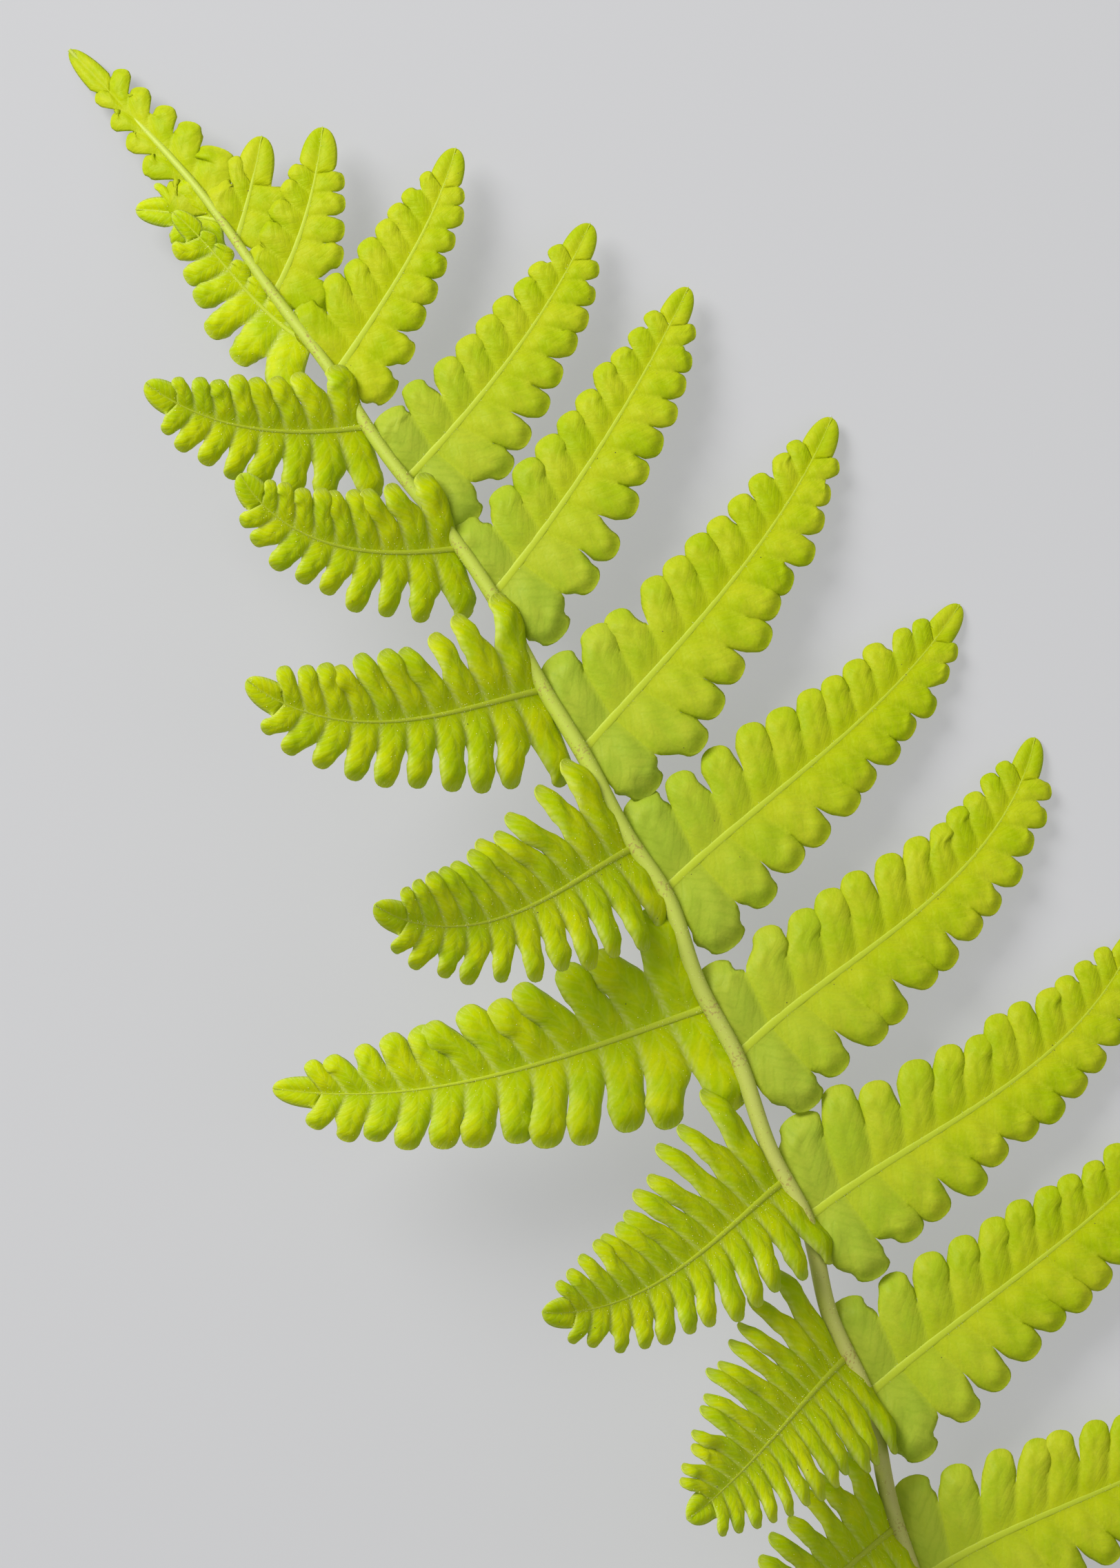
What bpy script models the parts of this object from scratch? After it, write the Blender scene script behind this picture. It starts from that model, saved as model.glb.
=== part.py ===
"""A young fern frond, picked and laid down: a bare stem, a grooved rachis, and side branches (pinnae)
whose blades are cut nearly to their ribs into round-ended segments. The frond is one grown piece.
Its right side lies nearly flat and its left side rises. It rests on a flat spot under the stem's foot,
on its tip and on the drooping tips of three pinnae."""

import math
from dataclasses import dataclass

import bmesh
import bpy
import numpy as np

# Lengths are in millimetres and angles in degrees, and the meshes are made in metres. +Y runs from the
# stem to the tip, and +X is the side that lies flat.
MM = 0.001

# The rachis from its tip to the cut end of the stem, with a slight kink at each pair of pinnae.
RACHIS_ROUTE = (
    (-30.0, 99.7, 0.0), (-24.3, 88.0, 3.8), (-19.9, 78.2, 6.2), (-15.3, 64.4, 8.0), (-11.2, 53.0, 9.3),
    (-8.1, 42.4, 10.0), (-4.3, 32.9, 10.6), (-1.1, 23.1, 11.0), (1.3, 11.5, 11.2), (3.8, 1.5, 11.3),
    (5.9, -8.9, 11.2), (8.0, -16.1, 11.1), (8.5, -26.3, 11.0), (10.3, -36.0, 10.8), (11.0, -48.8, 10.6),
    (12.5, -56.6, 10.4), (11.9, -68.0, 10.1), (13.2, -78.0, 9.7), (12.2, -91.0, 8.9), (12.4, -100.0, 8.2),
    (11.2, -122.0, 6.6), (8.8, -146.0, 5.2), (5.4, -170.0, 3.9), (1.0, -195.0, 2.6), (-4.0, -220.0, 1.8),
    (-7.0, -234.0, 1.4), (-9.4, -245.0, 1.4),
)
# Half the rachis's width at places along y.
RACHIS_RADII = ((99.7, 0.25), (85.0, 0.42), (60.0, 0.7), (0.0, 0.98), (-100.0, 1.0), (-200.0, 1.2),
                (-245.0, 1.5))
RACHIS_RINGS = 56
# The rachis's section as angle and distance in radii, with a groove above and a flat facet below,
# between its first two places.
GROOVED_SECTION = ((-112.5, 1.0), (-67.5, 1.0), (-22.5, 1.0), (20.0, 1.0), (62.0, 0.98), (90.0, 0.62),
                   (118.0, 0.98), (160.0, 1.0), (202.5, 1.0))
# The stem's foot, below this y, rests flat on the surface.
FOOT_TOP = -232.0

# The middle of the frond's footprint, which becomes the origin.
ORIGIN = np.array([9.84, -72.8, 0.0])

# Where neighbouring segments start to be joined further along their length, and how much further the basal
# segment is joined to the next one.
JOINED_FROM = 0.45
BASAL_JOINED = 0.12
# Places along a segment, as shares of its length: the start of its round end and the middle of its mesh,
# and as shares of its free part the corners of its mesh.
ROUND_FROM = 0.58
MIDDLE_REACH = 0.52
CORNER_SHARES = (0.45, 0.95)
ROUND_END_POWER = 2.5
NECK = 0.9
FALCATE = 0.05
# Relative widths of the basal and the smallest segment, and the least length of one.
BASAL_WIDTH = 1.12
SMALL_WIDTH = 0.42
LEAST_SIZE = 0.2
# Over how many segments the basal pair's extra spread fades. Segments past LEAN_FROM turn towards the tip
# by LEAN_RATE degrees for the rest of the costa. The basal segment stands nearer the rachis than the middle
# of its place on the costa.
BASAL_FADE = 1.6
BASAL_FOOT = 0.4
LEAN_FROM = 0.7
LEAN_RATE = 85.0
# The outline of the lobe that ends a costa, as shares of its length and of its half width.
END_LOBE_OUTLINE = ((0.3, 1.0), (0.78, 0.74))
END_LOBE_MIDDLE = (0.5, 0.4)
# The frond's tip: where it starts, the sizes of its lobes on both sides, how they shrink and turn forward
# along it, and the lobe that ends it.
APEX_FROM_Y = 75.0
APEX_SCALE = (0.62, 0.80)
APEX_SHRINK = 0.62
APEX_LEAN = 18.0
APEX_LOBES = 5
APEX_END = 1.6
APEX_END_LOBE = 1.5

# Half the blade's thickness at the rib and at a segment's middle, and how far the middle is raised.
RIB_HALF = 0.5
BLADE_HALF = 0.36
PILLOW = 0.35

FERN_GREEN = (0.38, 0.55, 0.03, 1.0)


@dataclass(frozen=True)
class Cut:
    """How a blade is cut: the length of a full-size segment, how far segments stand off the costa on its
    two sides and how much further the basal pair does, the shares of their length up to which neighbours
    are joined, on the inner costa and at its tip, and how they are turned like slats."""

    length: float
    spread: tuple
    basal_spread: tuple
    joined: tuple
    twist: float = 0.0


OPEN_CUT = Cut(11.6, (66.0, 70.0), (10.0, 24.0), (0.50, 0.70))
CURLED_CUT = Cut(12.0, (64.0, 76.0), (20.0, 24.0), (0.40, 0.62), 12.0)
APEX_CUT = Cut(8.7, (50.0, 56.0), (0.0, 0.0), (0.5, 0.6))


@dataclass(frozen=True)
class Pinna:
    """One side branch. Headings and lifts are its costa's, at its base, middle and tip: a heading leans
    from straight out towards the frond's tip, and a lift rises from the level. Upper and lower scale
    its segments on the side of the frond's tip and of the stem. The lobe that ends it has the half width
    end_lobe and takes up the relative length end, and lean turns the upper segments from the costa."""

    name: str
    side: int
    y: float
    length: float
    heading: tuple
    lift: tuple
    segments: int
    upper: float = 1.0
    lower: float = 1.0
    touches: bool = False
    end_lobe: float = 1.8
    end: float = 1.2
    lean: float = 0.0


PINNAE = (
    Pinna("R-d", 1, 71.5, 13.0, (56, 60, 64), (0, -6, -14), 2, 0.55, 0.55, end_lobe=2.2, end=1.7),
    Pinna("R-e", 1, 64.2, 21.0, (44, 58, 68), (0, -6, -14), 5, 0.50, 0.55, end_lobe=2.2, end=1.7),
    Pinna("R-f", 1, 53.0, 31.0, (39, 44, 59), (-2, -8, -14), 8, 0.70, 0.60, end_lobe=1.9, end=1.4),
    Pinna("R-g", 1, 38.9, 38.0, (30, 37, 50), (-4, -9, -15), 9, 0.71, 0.80, end_lobe=1.9),
    Pinna("R-h", 1, 23.1, 44.0, (34, 41, 48), (-5, -10, -16), 10, 0.75, 0.86),
    Pinna("R-i", 1, 2.8, 50.5, (31.5, 34, 50.5), (-6, -11, -16), 11, 0.90, 0.90, end_lobe=2.0),
    Pinna("R-j", 1, -15.4, 50.0, (27, 23.5, 40), (-7, -12, -18), 11, 0.94, 0.90, touches=True),
    Pinna("R-k", 1, -36.2, 53.5, (28, 22, 61), (-6, -11, -16), 12, 0.98, 0.95),
    Pinna("R-l", 1, -56.6, 53.5, (21, 17, 51), (-5, -10, -16), 12, 0.98, 0.92),
    Pinna("R-m", 1, -78.4, 52.0, (24, 20, 34), (-4, -9, -14), 12, 0.92, 0.94),
    Pinna("R-n", 1, -101.0, 50.0, (17, 5, 25), (-3, -8, -12), 12),
    Pinna("R-o", 1, -125.0, 48.0, (16, 10, 26), (-2, -6, -9), 12, 0.96, 0.96, touches=True),
    Pinna("R-p", 1, -148.0, 44.0, (12, 8, 22), (-1, -4, -6), 11, 0.90, 0.90),
    Pinna("L-d", -1, 74.3, 10.5, (30, 26, 20), (6, 6, 4), 2, 0.62, 0.40, end_lobe=1.8, end=1.7, lean=-36),
    Pinna("L-e", -1, 57.2, 22.5, (44, 66, 56), (-2, 8, 10), 6, 0.16, 0.66, end_lobe=1.4, lean=-20),
    Pinna("L-f", -1, 46.2, 29.5, (6, 23, 56), (35, 30, 20), 8, 0.72, 0.76),
    Pinna("L-g", -1, 29.5, 32.0, (8, 28, 80), (40, 30, 20), 9, 0.80, 0.74),
    Pinna("L-h", -1, 11.0, 42.0, (4, 10, 58), (45, 35, 20), 10, 1.0, 0.94),
    Pinna("L-i", -1, -9.5, 45.0, (-8, -5, 54), (55, 45, 40), 11, 1.08, 0.96),
    Pinna("L-j", -1, -29.7, 53.0, (-1, 4, 27), (20, 15, 5), 12, 1.04, 1.04),
    Pinna("L-k", -1, -51.5, 45.0, (-14, -14, 27), (55, 45, 40), 12, 1.18, 0.94),
    Pinna("L-l", -1, -73.2, 44.0, (-14, -21, -12), (62, 58, 50), 12, 1.24, 1.04),
    Pinna("L-m", -1, -94.0, 45.0, (-6, -14, -14), (60, 50, 40), 12),
    Pinna("L-n", -1, -116.5, 47.0, (4, 4, 14), (34, 20, 4), 12),
    Pinna("L-o", -1, -139.0, 44.0, (8, 8, 20), (-1, -4, -8), 11, 0.90, 0.90, touches=True),
)


def natural_curve(points, count):
    """Reads `count` evenly spaced points from a natural cubic spline through `points`."""
    knots = np.asarray(points, float)
    at = np.concatenate([[0.0], np.cumsum(np.linalg.norm(np.diff(knots, axis=0), axis=1))])
    step = np.diff(at)
    last = len(knots) - 1
    matrix = np.eye(last + 1)
    right = np.zeros_like(knots)
    for i in range(1, last):
        matrix[i, i - 1:i + 2] = step[i - 1], 2 * (step[i - 1] + step[i]), step[i]
        right[i] = 6 * ((knots[i + 1] - knots[i]) / step[i] - (knots[i] - knots[i - 1]) / step[i - 1])
    bend = np.linalg.solve(matrix, right)
    where = np.linspace(0.0, at[-1], count)
    k = np.clip(np.searchsorted(at, where) - 1, 0, last - 1)
    before, after, span = (where - at[k])[:, None], (at[k + 1] - where)[:, None], step[k][:, None]
    curved = (bend[k] * after**3 + bend[k + 1] * before**3) / (6 * span)
    return (curved + (knots[k] / span - bend[k] * span / 6) * after
            + (knots[k + 1] / span - bend[k + 1] * span / 6) * before)


def through_three(values, u):
    """The parabola through the values at u = 0, 0.5 and 1."""
    first, middle, last = values
    return first * (1 - u) * (1 - 2 * u) + 4 * middle * u * (1 - u) + last * u * (2 * u - 1)


def smooth(value):
    """Eases 0 to 1 in and out, and stays there outside it."""
    t = min(max(value, 0.0), 1.0)
    return t * t * (3.0 - 2.0 * t)


def unit(vectors):
    return vectors / np.linalg.norm(vectors, axis=-1, keepdims=True)


RACHIS = natural_curve(RACHIS_ROUTE, 401)


def rachis_at(y):
    """The point of the rachis at y."""
    return np.array([np.interp(-y, -RACHIS[:, 1], RACHIS[:, axis]) for axis in range(3)])


class Blade:
    """A costa with segments on both sides. A half is +1 on the side of the frond's tip and -1 on the
    stem's side."""

    basal_width = BASAL_WIDTH
    basal_joined = BASAL_JOINED

    def __init__(self, line, side, segments, scale, cut, end, end_lobe, lean=0.0):
        self.line = line
        self.side = side
        self.segments = segments
        self.scale = scale
        self.cut = cut
        self.end_lobe = end_lobe
        self.spread = (cut.spread[0] + lean, cut.spread[1])
        self.u = np.linspace(0.0, 1.0, len(line))
        self.length = np.linalg.norm(np.diff(line, axis=0), axis=1).sum()
        self.along = unit(np.gradient(line, axis=0))
        self.across = unit(np.cross([0.0, 0.0, 1.0], self.along) * side)
        self.up = side * np.cross(self.along, self.across)
        self.stations = self.segment_stations(end)

    def read(self, table, u):
        return np.stack([np.interp(u, self.u, table[:, axis]) for axis in range(3)], axis=-1)

    def size(self, u):
        """Size of a segment by its place on the costa."""
        return np.sqrt(np.maximum(1.0 - np.asarray(u, float), 0.0))

    def segment_stations(self, end):
        """Where the segments meet on the costa, up to the lobe that ends it."""
        places = (np.arange(self.segments) + 0.5) / (self.segments + 1)
        widths = SMALL_WIDTH + (1.0 - SMALL_WIDTH) * self.size(places)
        widths[0] = self.basal_width
        ends = np.cumsum(np.append(widths, end))
        return np.concatenate([[0.0], ends[:-1] / ends[-1]])

    def middle(self, k):
        start, end = self.stations[k], self.stations[k + 1]
        return start + (end - start) * (BASAL_FOOT if k == 0 else 0.5)

    def reach(self, k, half):
        """Length of segment k."""
        scale = self.scale[0 if half > 0 else 1]
        return max(float(self.size(self.middle(k))), LEAST_SIZE) * scale * self.cut.length

    def lean(self, k, half):
        """Angle between the costa and segment k."""
        place = 0 if half > 0 else 1
        angle = self.spread[place] - LEAN_RATE * max(0.0, self.middle(k) - LEAN_FROM)
        return math.radians(angle + self.cut.basal_spread[place] * math.exp(-k / BASAL_FADE))

    def directions(self, k, half):
        """Segment k's own axes: out along it, and across it towards the pinna's tip."""
        u = self.middle(k)
        along, across, up = (self.read(table, u) for table in (self.along, self.across, self.up))
        lean = self.lean(k, half)
        out = math.cos(lean) * along + half * math.sin(lean) * across
        wide = math.sin(lean) * along - half * math.cos(lean) * across
        twist = math.radians(self.cut.twist)
        return out, wide * math.cos(twist) + up * math.sin(twist)

    def half_width(self, k, half):
        place = (self.stations[k + 1] - self.stations[k]) * self.length
        return place * (1.0 if k == 0 else math.sin(self.lean(k, half))) / 2

    def midline(self, k, half, reach):
        """Points along the middle of segment k, at shares of its length."""
        out, wide = self.directions(k, half)
        full = self.reach(k, half)
        span = np.asarray(reach, float)[..., None] * full
        return self.read(self.line, self.middle(k)) + out * span + wide * FALCATE * span**2 / full

    def free_edge(self, k, half, edge, reach):
        """Segment k's outline past its notch; edge is -1 on its base side and +1 on its tip side."""
        past = np.clip((reach - ROUND_FROM) / (1.0 - ROUND_FROM), 0.0, 1.0)
        fullness = (1.0 - past**ROUND_END_POWER) ** (1.0 / ROUND_END_POWER)
        neck = NECK + (1.0 - NECK) * np.clip(reach / ROUND_FROM, 0.0, 1.0)
        offset = edge * self.half_width(k, half) * fullness * neck
        return self.midline(k, half, reach) + self.directions(k, half)[1] * offset[..., None]

    def joined(self, k):
        """The share of their length up to which segments k - 1 and k are joined."""
        inner, outer = self.cut.joined
        along = smooth((self.stations[k] - JOINED_FROM) / (1.0 - JOINED_FROM))
        return inner + (outer - inner) * along + (self.basal_joined if k == 1 else 0.0)

    def corner_reaches(self, k, edge):
        """Where the corners of segment k's round end are along one of its edges."""
        joined = self.joined(k if edge < 0 else k + 1)
        return [joined + (1.0 - joined) * share for share in CORNER_SHARES]

    def notch(self, k, half):
        """The bottom of the cut between segments k - 1 and k."""
        reach = np.array(self.joined(k))
        if k == 0:
            return self.free_edge(0, half, -1, reach)
        before = self.free_edge(k - 1, half, 1, reach)
        if k == self.segments:
            return before
        return (before + self.free_edge(k, half, -1, reach)) / 2

    def end_lobe_edge(self, half, way, width):
        """The outline of the end lobe, at a share of its length and of its half width."""
        u = self.stations[-1] + (1.0 - self.stations[-1]) * way
        offset = half * width * self.end_lobe
        return self.read(self.line, u) + self.read(self.across, u) * offset


class ApexBlade(Blade):
    """The frond's tip, whose lobes grow steadily shorter."""

    basal_width = 1.0
    basal_joined = 0.0

    def size(self, u):
        return 1.0 - APEX_SHRINK * np.asarray(u, float)

    def lean(self, k, half):
        return math.radians(self.spread[0 if half > 0 else 1] - APEX_LEAN * self.middle(k))


def pinna_line(pinna, count=41):
    """Points along a pinna's costa, from the rachis to its tip."""
    u = (np.arange(count - 1) + 0.5) / (count - 1)
    heading = np.radians(through_three(pinna.heading, u))
    lift = np.radians(through_three(pinna.lift, u))
    outward, forward = pinna.side * np.cos(heading) * np.cos(lift), np.sin(heading) * np.cos(lift)
    steps = np.stack([outward, forward, np.sin(lift)], axis=1) * pinna.length / (count - 1)
    return rachis_at(pinna.y) + np.concatenate([np.zeros((1, 3)), np.cumsum(steps, axis=0)])


def pinna_blade(pinna):
    """The right pinnae lie open and the left ones are curled."""
    cut = OPEN_CUT if pinna.side > 0 else CURLED_CUT
    return Blade(pinna_line(pinna), pinna.side, pinna.segments, (pinna.upper, pinna.lower), cut, pinna.end,
                 pinna.end_lobe, pinna.lean)


def apex_blade():
    """The lobed tip, whose costa is the end of the rachis."""
    line = RACHIS[RACHIS[:, 1] > APEX_FROM_Y][::-1]
    return ApexBlade(line, 1, APEX_LOBES, APEX_SCALE, APEX_CUT, APEX_END, APEX_END_LOBE)


def droop(points, share):
    """Lowers a pinna towards its tip until its lowest point lies on the surface at z = 0."""
    far = share > 0.3
    drop = np.min(points[far, 2] / share[far] ** 2)
    return points - np.outer(drop * share**2, [0.0, 0.0, 1.0])


class BladeMesh:
    """The closed thin solid of one blade. Each place on it is a pair of points, one on either face, or
    on its rim one point that both faces share. Share is the place's station on the costa."""

    def __init__(self, blade):
        self.blade = blade
        self.points = []
        self.share = []
        self.faces = []
        self.top = {}
        self.bottom = {}
        count = blade.segments
        for k in range(count + 1):
            station = blade.stations[k]
            self.add_pair(("rib", k), blade.read(blade.line, station), station, RIB_HALF)
        self.add_rim("tip", blade.line[-1], 1.0)
        for half in (1, -1):
            for k in range(count + 1):
                self.add_rim((half, "notch", k), blade.notch(k, half), blade.stations[k])
            for k in range(count):
                self.add_segment(half, k)
            self.add_end_lobe(half)
            self.close_foot(half)

    def add_rim(self, place, point, share):
        self.top[place] = self.bottom[place] = len(self.points)
        self.points.append(point)
        self.share.append(share)

    def add_pair(self, place, point, share, half_thickness):
        up = self.blade.read(self.blade.up, share)
        for sign, face in ((1.0, self.top), (-1.0, self.bottom)):
            face[place] = len(self.points)
            self.points.append(point + up * sign * half_thickness)
            self.share.append(share)

    def fan(self, centre, ring, half):
        """Triangles from a centre to a closed ring of places, alike on both faces and facing out."""
        turned = half * self.blade.side > 0
        for one, two in zip(ring, ring[1:] + ring[:1]):
            above = (self.top[centre], self.top[one], self.top[two])
            below = (self.bottom[centre], self.bottom[two], self.bottom[one])
            self.faces.append(above[::-1] if turned else above)
            self.faces.append(below[::-1] if turned else below)

    def add_segment(self, half, k):
        """One segment round its raised middle, from the rib out to its round end."""
        blade = self.blade
        share = blade.middle(k)
        corners = {-1: [], 1: []}
        for edge in corners:
            for reach in blade.corner_reaches(k, edge):
                place = (half, k, edge, reach)
                self.add_rim(place, blade.free_edge(k, half, edge, np.array(reach)), share)
                corners[edge].append(place)
        raised = blade.midline(k, half, np.array(MIDDLE_REACH)) + blade.read(blade.up, share) * PILLOW
        self.add_pair((half, k), raised, share, BLADE_HALF)
        inner = [(half, "notch", k + 1), ("rib", k + 1), ("rib", k), (half, "notch", k)]
        self.fan((half, k), inner + corners[-1] + corners[1][::-1], half)

    def add_end_lobe(self, half):
        """Half of the lobe that ends the costa."""
        blade = self.blade
        share = (blade.stations[-1] + 1.0) / 2
        ring = [("rib", blade.segments), (half, "notch", blade.segments)]
        for way, width in END_LOBE_OUTLINE:
            place = (half, "end", way)
            self.add_rim(place, blade.end_lobe_edge(half, way, width), share)
            ring.append(place)
        raised = blade.end_lobe_edge(half, *END_LOBE_MIDDLE) + blade.read(blade.up, share) * PILLOW / 2
        self.add_pair((half, "end"), raised, share, BLADE_HALF)
        self.fan((half, "end"), ring + ["tip"], half)

    def close_foot(self, half):
        """The small face that ends the blade inside the rachis."""
        foot = (self.bottom["rib", 0], self.top["rib", 0], self.top[half, "notch", 0])
        self.faces.append(foot if half * self.blade.side > 0 else foot[::-1])


def make_object(name, points, faces):
    """A mesh object of triangles, from points in millimetres."""
    mesh = bpy.data.meshes.new(name)
    mesh.from_pydata((np.asarray(points) - ORIGIN) * MM, [], faces)
    bm = bmesh.new()
    bm.from_mesh(mesh)
    bmesh.ops.triangulate(bm, faces=bm.faces)
    bm.to_mesh(mesh)
    bm.free()
    obj = bpy.data.objects.new(name, mesh)
    bpy.context.scene.collection.objects.link(obj)
    return obj


def rachis_solid():
    """The stem and rachis as a tube with a groove along its top and a flat facet below."""
    line = natural_curve(RACHIS_ROUTE, RACHIS_RINGS)
    along = unit(np.gradient(line, axis=0))
    across = unit(np.cross(along, [0.0, 0.0, 1.0]))
    up = np.cross(across, along)
    places, radii = zip(*RACHIS_RADII)
    points, sides = [line[0]], len(GROOVED_SECTION)
    for centre, right, rise in zip(line[1:], across[1:], up[1:]):
        radius = np.interp(-centre[1], -np.array(places), radii)
        for place, (angle, distance) in enumerate(GROOVED_SECTION):
            turn = math.radians(angle)
            point = centre + (right * math.cos(turn) + rise * math.sin(turn)) * distance * radius
            if centre[1] < FOOT_TOP and place < 2:
                point[2] = 0.0
            points.append(point)
    faces = [(0, 1 + side, 1 + (side + 1) % sides) for side in range(sides)]
    for start in range(1, len(points) - sides, sides):
        for side in range(sides):
            beside = (side + 1) % sides
            faces.append((start + side, start + sides + side, start + sides + beside, start + beside))
    faces.append(tuple(range(len(points) - 1, len(points) - sides - 1, -1)))
    return make_object("frond", points, faces)


def fuse(main_object, others):
    """Joins the blades to the rachis in one solid, and removes the blades' own objects."""
    blades = bpy.data.collections.new("blades")
    for obj in others:
        blades.objects.link(obj)
    union = main_object.modifiers.new("union", "BOOLEAN")
    union.operation = "UNION"
    union.operand_type = "COLLECTION"
    union.collection = blades
    union.solver = "MANIFOLD"
    graph = bpy.context.evaluated_depsgraph_get()
    fused = bpy.data.meshes.new_from_object(main_object.evaluated_get(graph))
    main_object.modifiers.clear()
    main_object.data = fused
    for obj in others:
        bpy.data.objects.remove(obj)
    bpy.data.collections.remove(blades)


def drop_scraps(obj):
    """Keeps the largest connected body, without loose scraps or hollows that the union sealed."""
    bm = bmesh.new()
    bm.from_mesh(obj.data)
    unseen, bodies = set(bm.verts), []
    while unseen:
        body, edge = set(), [next(iter(unseen))]
        while edge:
            vert = edge.pop()
            if vert in unseen:
                unseen.discard(vert)
                body.add(vert)
                edge.extend(link.other_vert(vert) for link in vert.link_edges)
        bodies.append(body)
    bodies.sort(key=len)
    bmesh.ops.delete(bm, geom=[vert for body in bodies[:-1] for vert in body], context="VERTS")
    bm.to_mesh(obj.data)
    bm.free()


def leaf_material():
    material = bpy.data.materials.new("fern green")
    material.use_nodes = True
    surface = material.node_tree.nodes["Principled BSDF"]
    surface.inputs["Base Color"].default_value = FERN_GREEN
    surface.inputs["Roughness"].default_value = 0.5
    surface.inputs["Metallic"].default_value = 0.0
    return material


def blade_object(name, blade, touches):
    mesh = BladeMesh(blade)
    points = np.array(mesh.points)
    if touches:
        points = droop(points, np.array(mesh.share))
    return make_object(name, points, mesh.faces)


def main():
    for obj in list(bpy.data.objects):
        bpy.data.objects.remove(obj)
    frond = rachis_solid()
    blades = [blade_object(pinna.name, pinna_blade(pinna), pinna.touches) for pinna in PINNAE]
    blades.append(blade_object("apex", apex_blade(), False))
    fuse(frond, blades)
    drop_scraps(frond)
    frond.data.materials.clear()
    frond.data.materials.append(leaf_material())
    frond.data.shade_smooth()
    frond.data.set_sharp_from_angle(angle=math.radians(35.0))


main()
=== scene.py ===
"""Looks of a young fern frond that lies on a pale surface, seen from above.

The frond's own rules are repeated from the part's source in millimetres: where the rachis runs, how each
pinna bends, and how its blade is cut into segments. Fine thin blades, grooved ribs, hairs and glands
replace the part's plain solid there.
"""

from __future__ import annotations

import logging
import math
from collections.abc import Mapping, Sequence
from dataclasses import dataclass, field
from enum import Enum

import bpy
import numpy as np
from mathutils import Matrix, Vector


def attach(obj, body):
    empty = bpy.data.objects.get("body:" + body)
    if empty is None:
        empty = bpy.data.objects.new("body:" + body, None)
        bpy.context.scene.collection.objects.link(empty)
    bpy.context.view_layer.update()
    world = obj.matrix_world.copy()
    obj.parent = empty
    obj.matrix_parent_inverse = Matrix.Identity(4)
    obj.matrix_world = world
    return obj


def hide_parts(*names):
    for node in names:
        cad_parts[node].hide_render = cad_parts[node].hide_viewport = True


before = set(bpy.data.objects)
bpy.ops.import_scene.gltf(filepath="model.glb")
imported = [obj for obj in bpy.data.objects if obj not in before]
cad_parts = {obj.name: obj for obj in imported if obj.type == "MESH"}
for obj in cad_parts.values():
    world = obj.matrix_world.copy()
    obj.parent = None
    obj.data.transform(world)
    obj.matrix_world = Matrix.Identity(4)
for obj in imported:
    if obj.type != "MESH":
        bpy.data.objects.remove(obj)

LOG = logging.getLogger("fern")
MM = 0.001
TURN = 2 * math.pi
NODE = "frond"

# The point of the layout, in mm, that is the frame's origin.
ORIGIN = np.array([9.84, -72.8, 0.0])

# The rachis in mm, from the frond's tip to the cut end: the points that it runs through, and its radii by y.
RACHIS_ROUTE = (
    (-30.0, 99.7, 0.0), (-24.3, 88.0, 3.8), (-19.9, 78.2, 6.2), (-15.3, 64.4, 8.0), (-11.2, 53.0, 9.3),
    (-8.1, 42.4, 10.0), (-4.3, 32.9, 10.6), (-1.1, 23.1, 11.0), (1.3, 11.5, 11.2), (3.8, 1.5, 11.3),
    (5.9, -8.9, 11.2), (8.0, -16.1, 11.1), (8.5, -26.3, 11.0), (10.3, -36.0, 10.8), (11.0, -48.8, 10.6),
    (12.5, -56.6, 10.4), (11.9, -68.0, 10.1), (13.2, -78.0, 9.7), (12.2, -91.0, 8.9), (12.4, -100.0, 8.2),
    (11.2, -122.0, 6.6), (8.8, -146.0, 5.2), (5.4, -170.0, 3.9), (1.0, -195.0, 2.6), (-4.0, -220.0, 1.8),
    (-7.0, -234.0, 1.4), (-9.4, -245.0, 1.4),
)
RACHIS_RADII = ((99.7, 0.25), (85.0, 0.42), (60.0, 0.7), (0.0, 0.98), (-100.0, 1.0), (-200.0, 1.2),
                (-245.0, 1.5))


class Side(Enum):
    """The side of the frond that a pinna stands on."""

    OPEN = 1
    CURLED = -1


@dataclass(frozen=True)
class BladeStyle:
    """How the blades of one side are held and shaped; lengths in mm, angles in degrees."""

    spread: tuple[float, float]
    basal_spread: tuple[float, float]
    twist: float
    length: float
    notch: tuple[float, float]
    pillow: float
    recurve: float
    overlap: float
    wander: float


STYLES = {
    Side.OPEN: BladeStyle(
        spread=(66.0, 70.0), basal_spread=(10.0, 24.0), twist=0.0, length=11.6, notch=(0.50, 0.70),
        pillow=0.55, recurve=0.45, overlap=1.12, wander=1.0),
    Side.CURLED: BladeStyle(
        spread=(64.0, 76.0), basal_spread=(20.0, 24.0), twist=12.0, length=12.0, notch=(0.40, 0.62),
        pillow=0.8, recurve=0.55, overlap=1.22, wander=1.2),
}


@dataclass(frozen=True)
class Pinna:
    """One side branch, in mm and degrees.

    Headings and lifts are its costa's at its base, middle and tip: a heading leans from straight out towards
    the frond's tip, and a lift rises from the level. Upper and lower scale its segments on the side of the
    frond's tip and of the stem, and lean is added to the angle of the upper ones.
    """

    name: str
    side: Side
    y: float
    length: float
    heading: tuple[float, float, float]
    lift: tuple[float, float, float]
    segments: int
    upper: float = 1.0
    lower: float = 1.0
    touches: bool = False
    end_lobe: float = 1.8
    end: float = 1.2
    lean: float = 0.0


OPEN, CURLED = Side.OPEN, Side.CURLED

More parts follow.
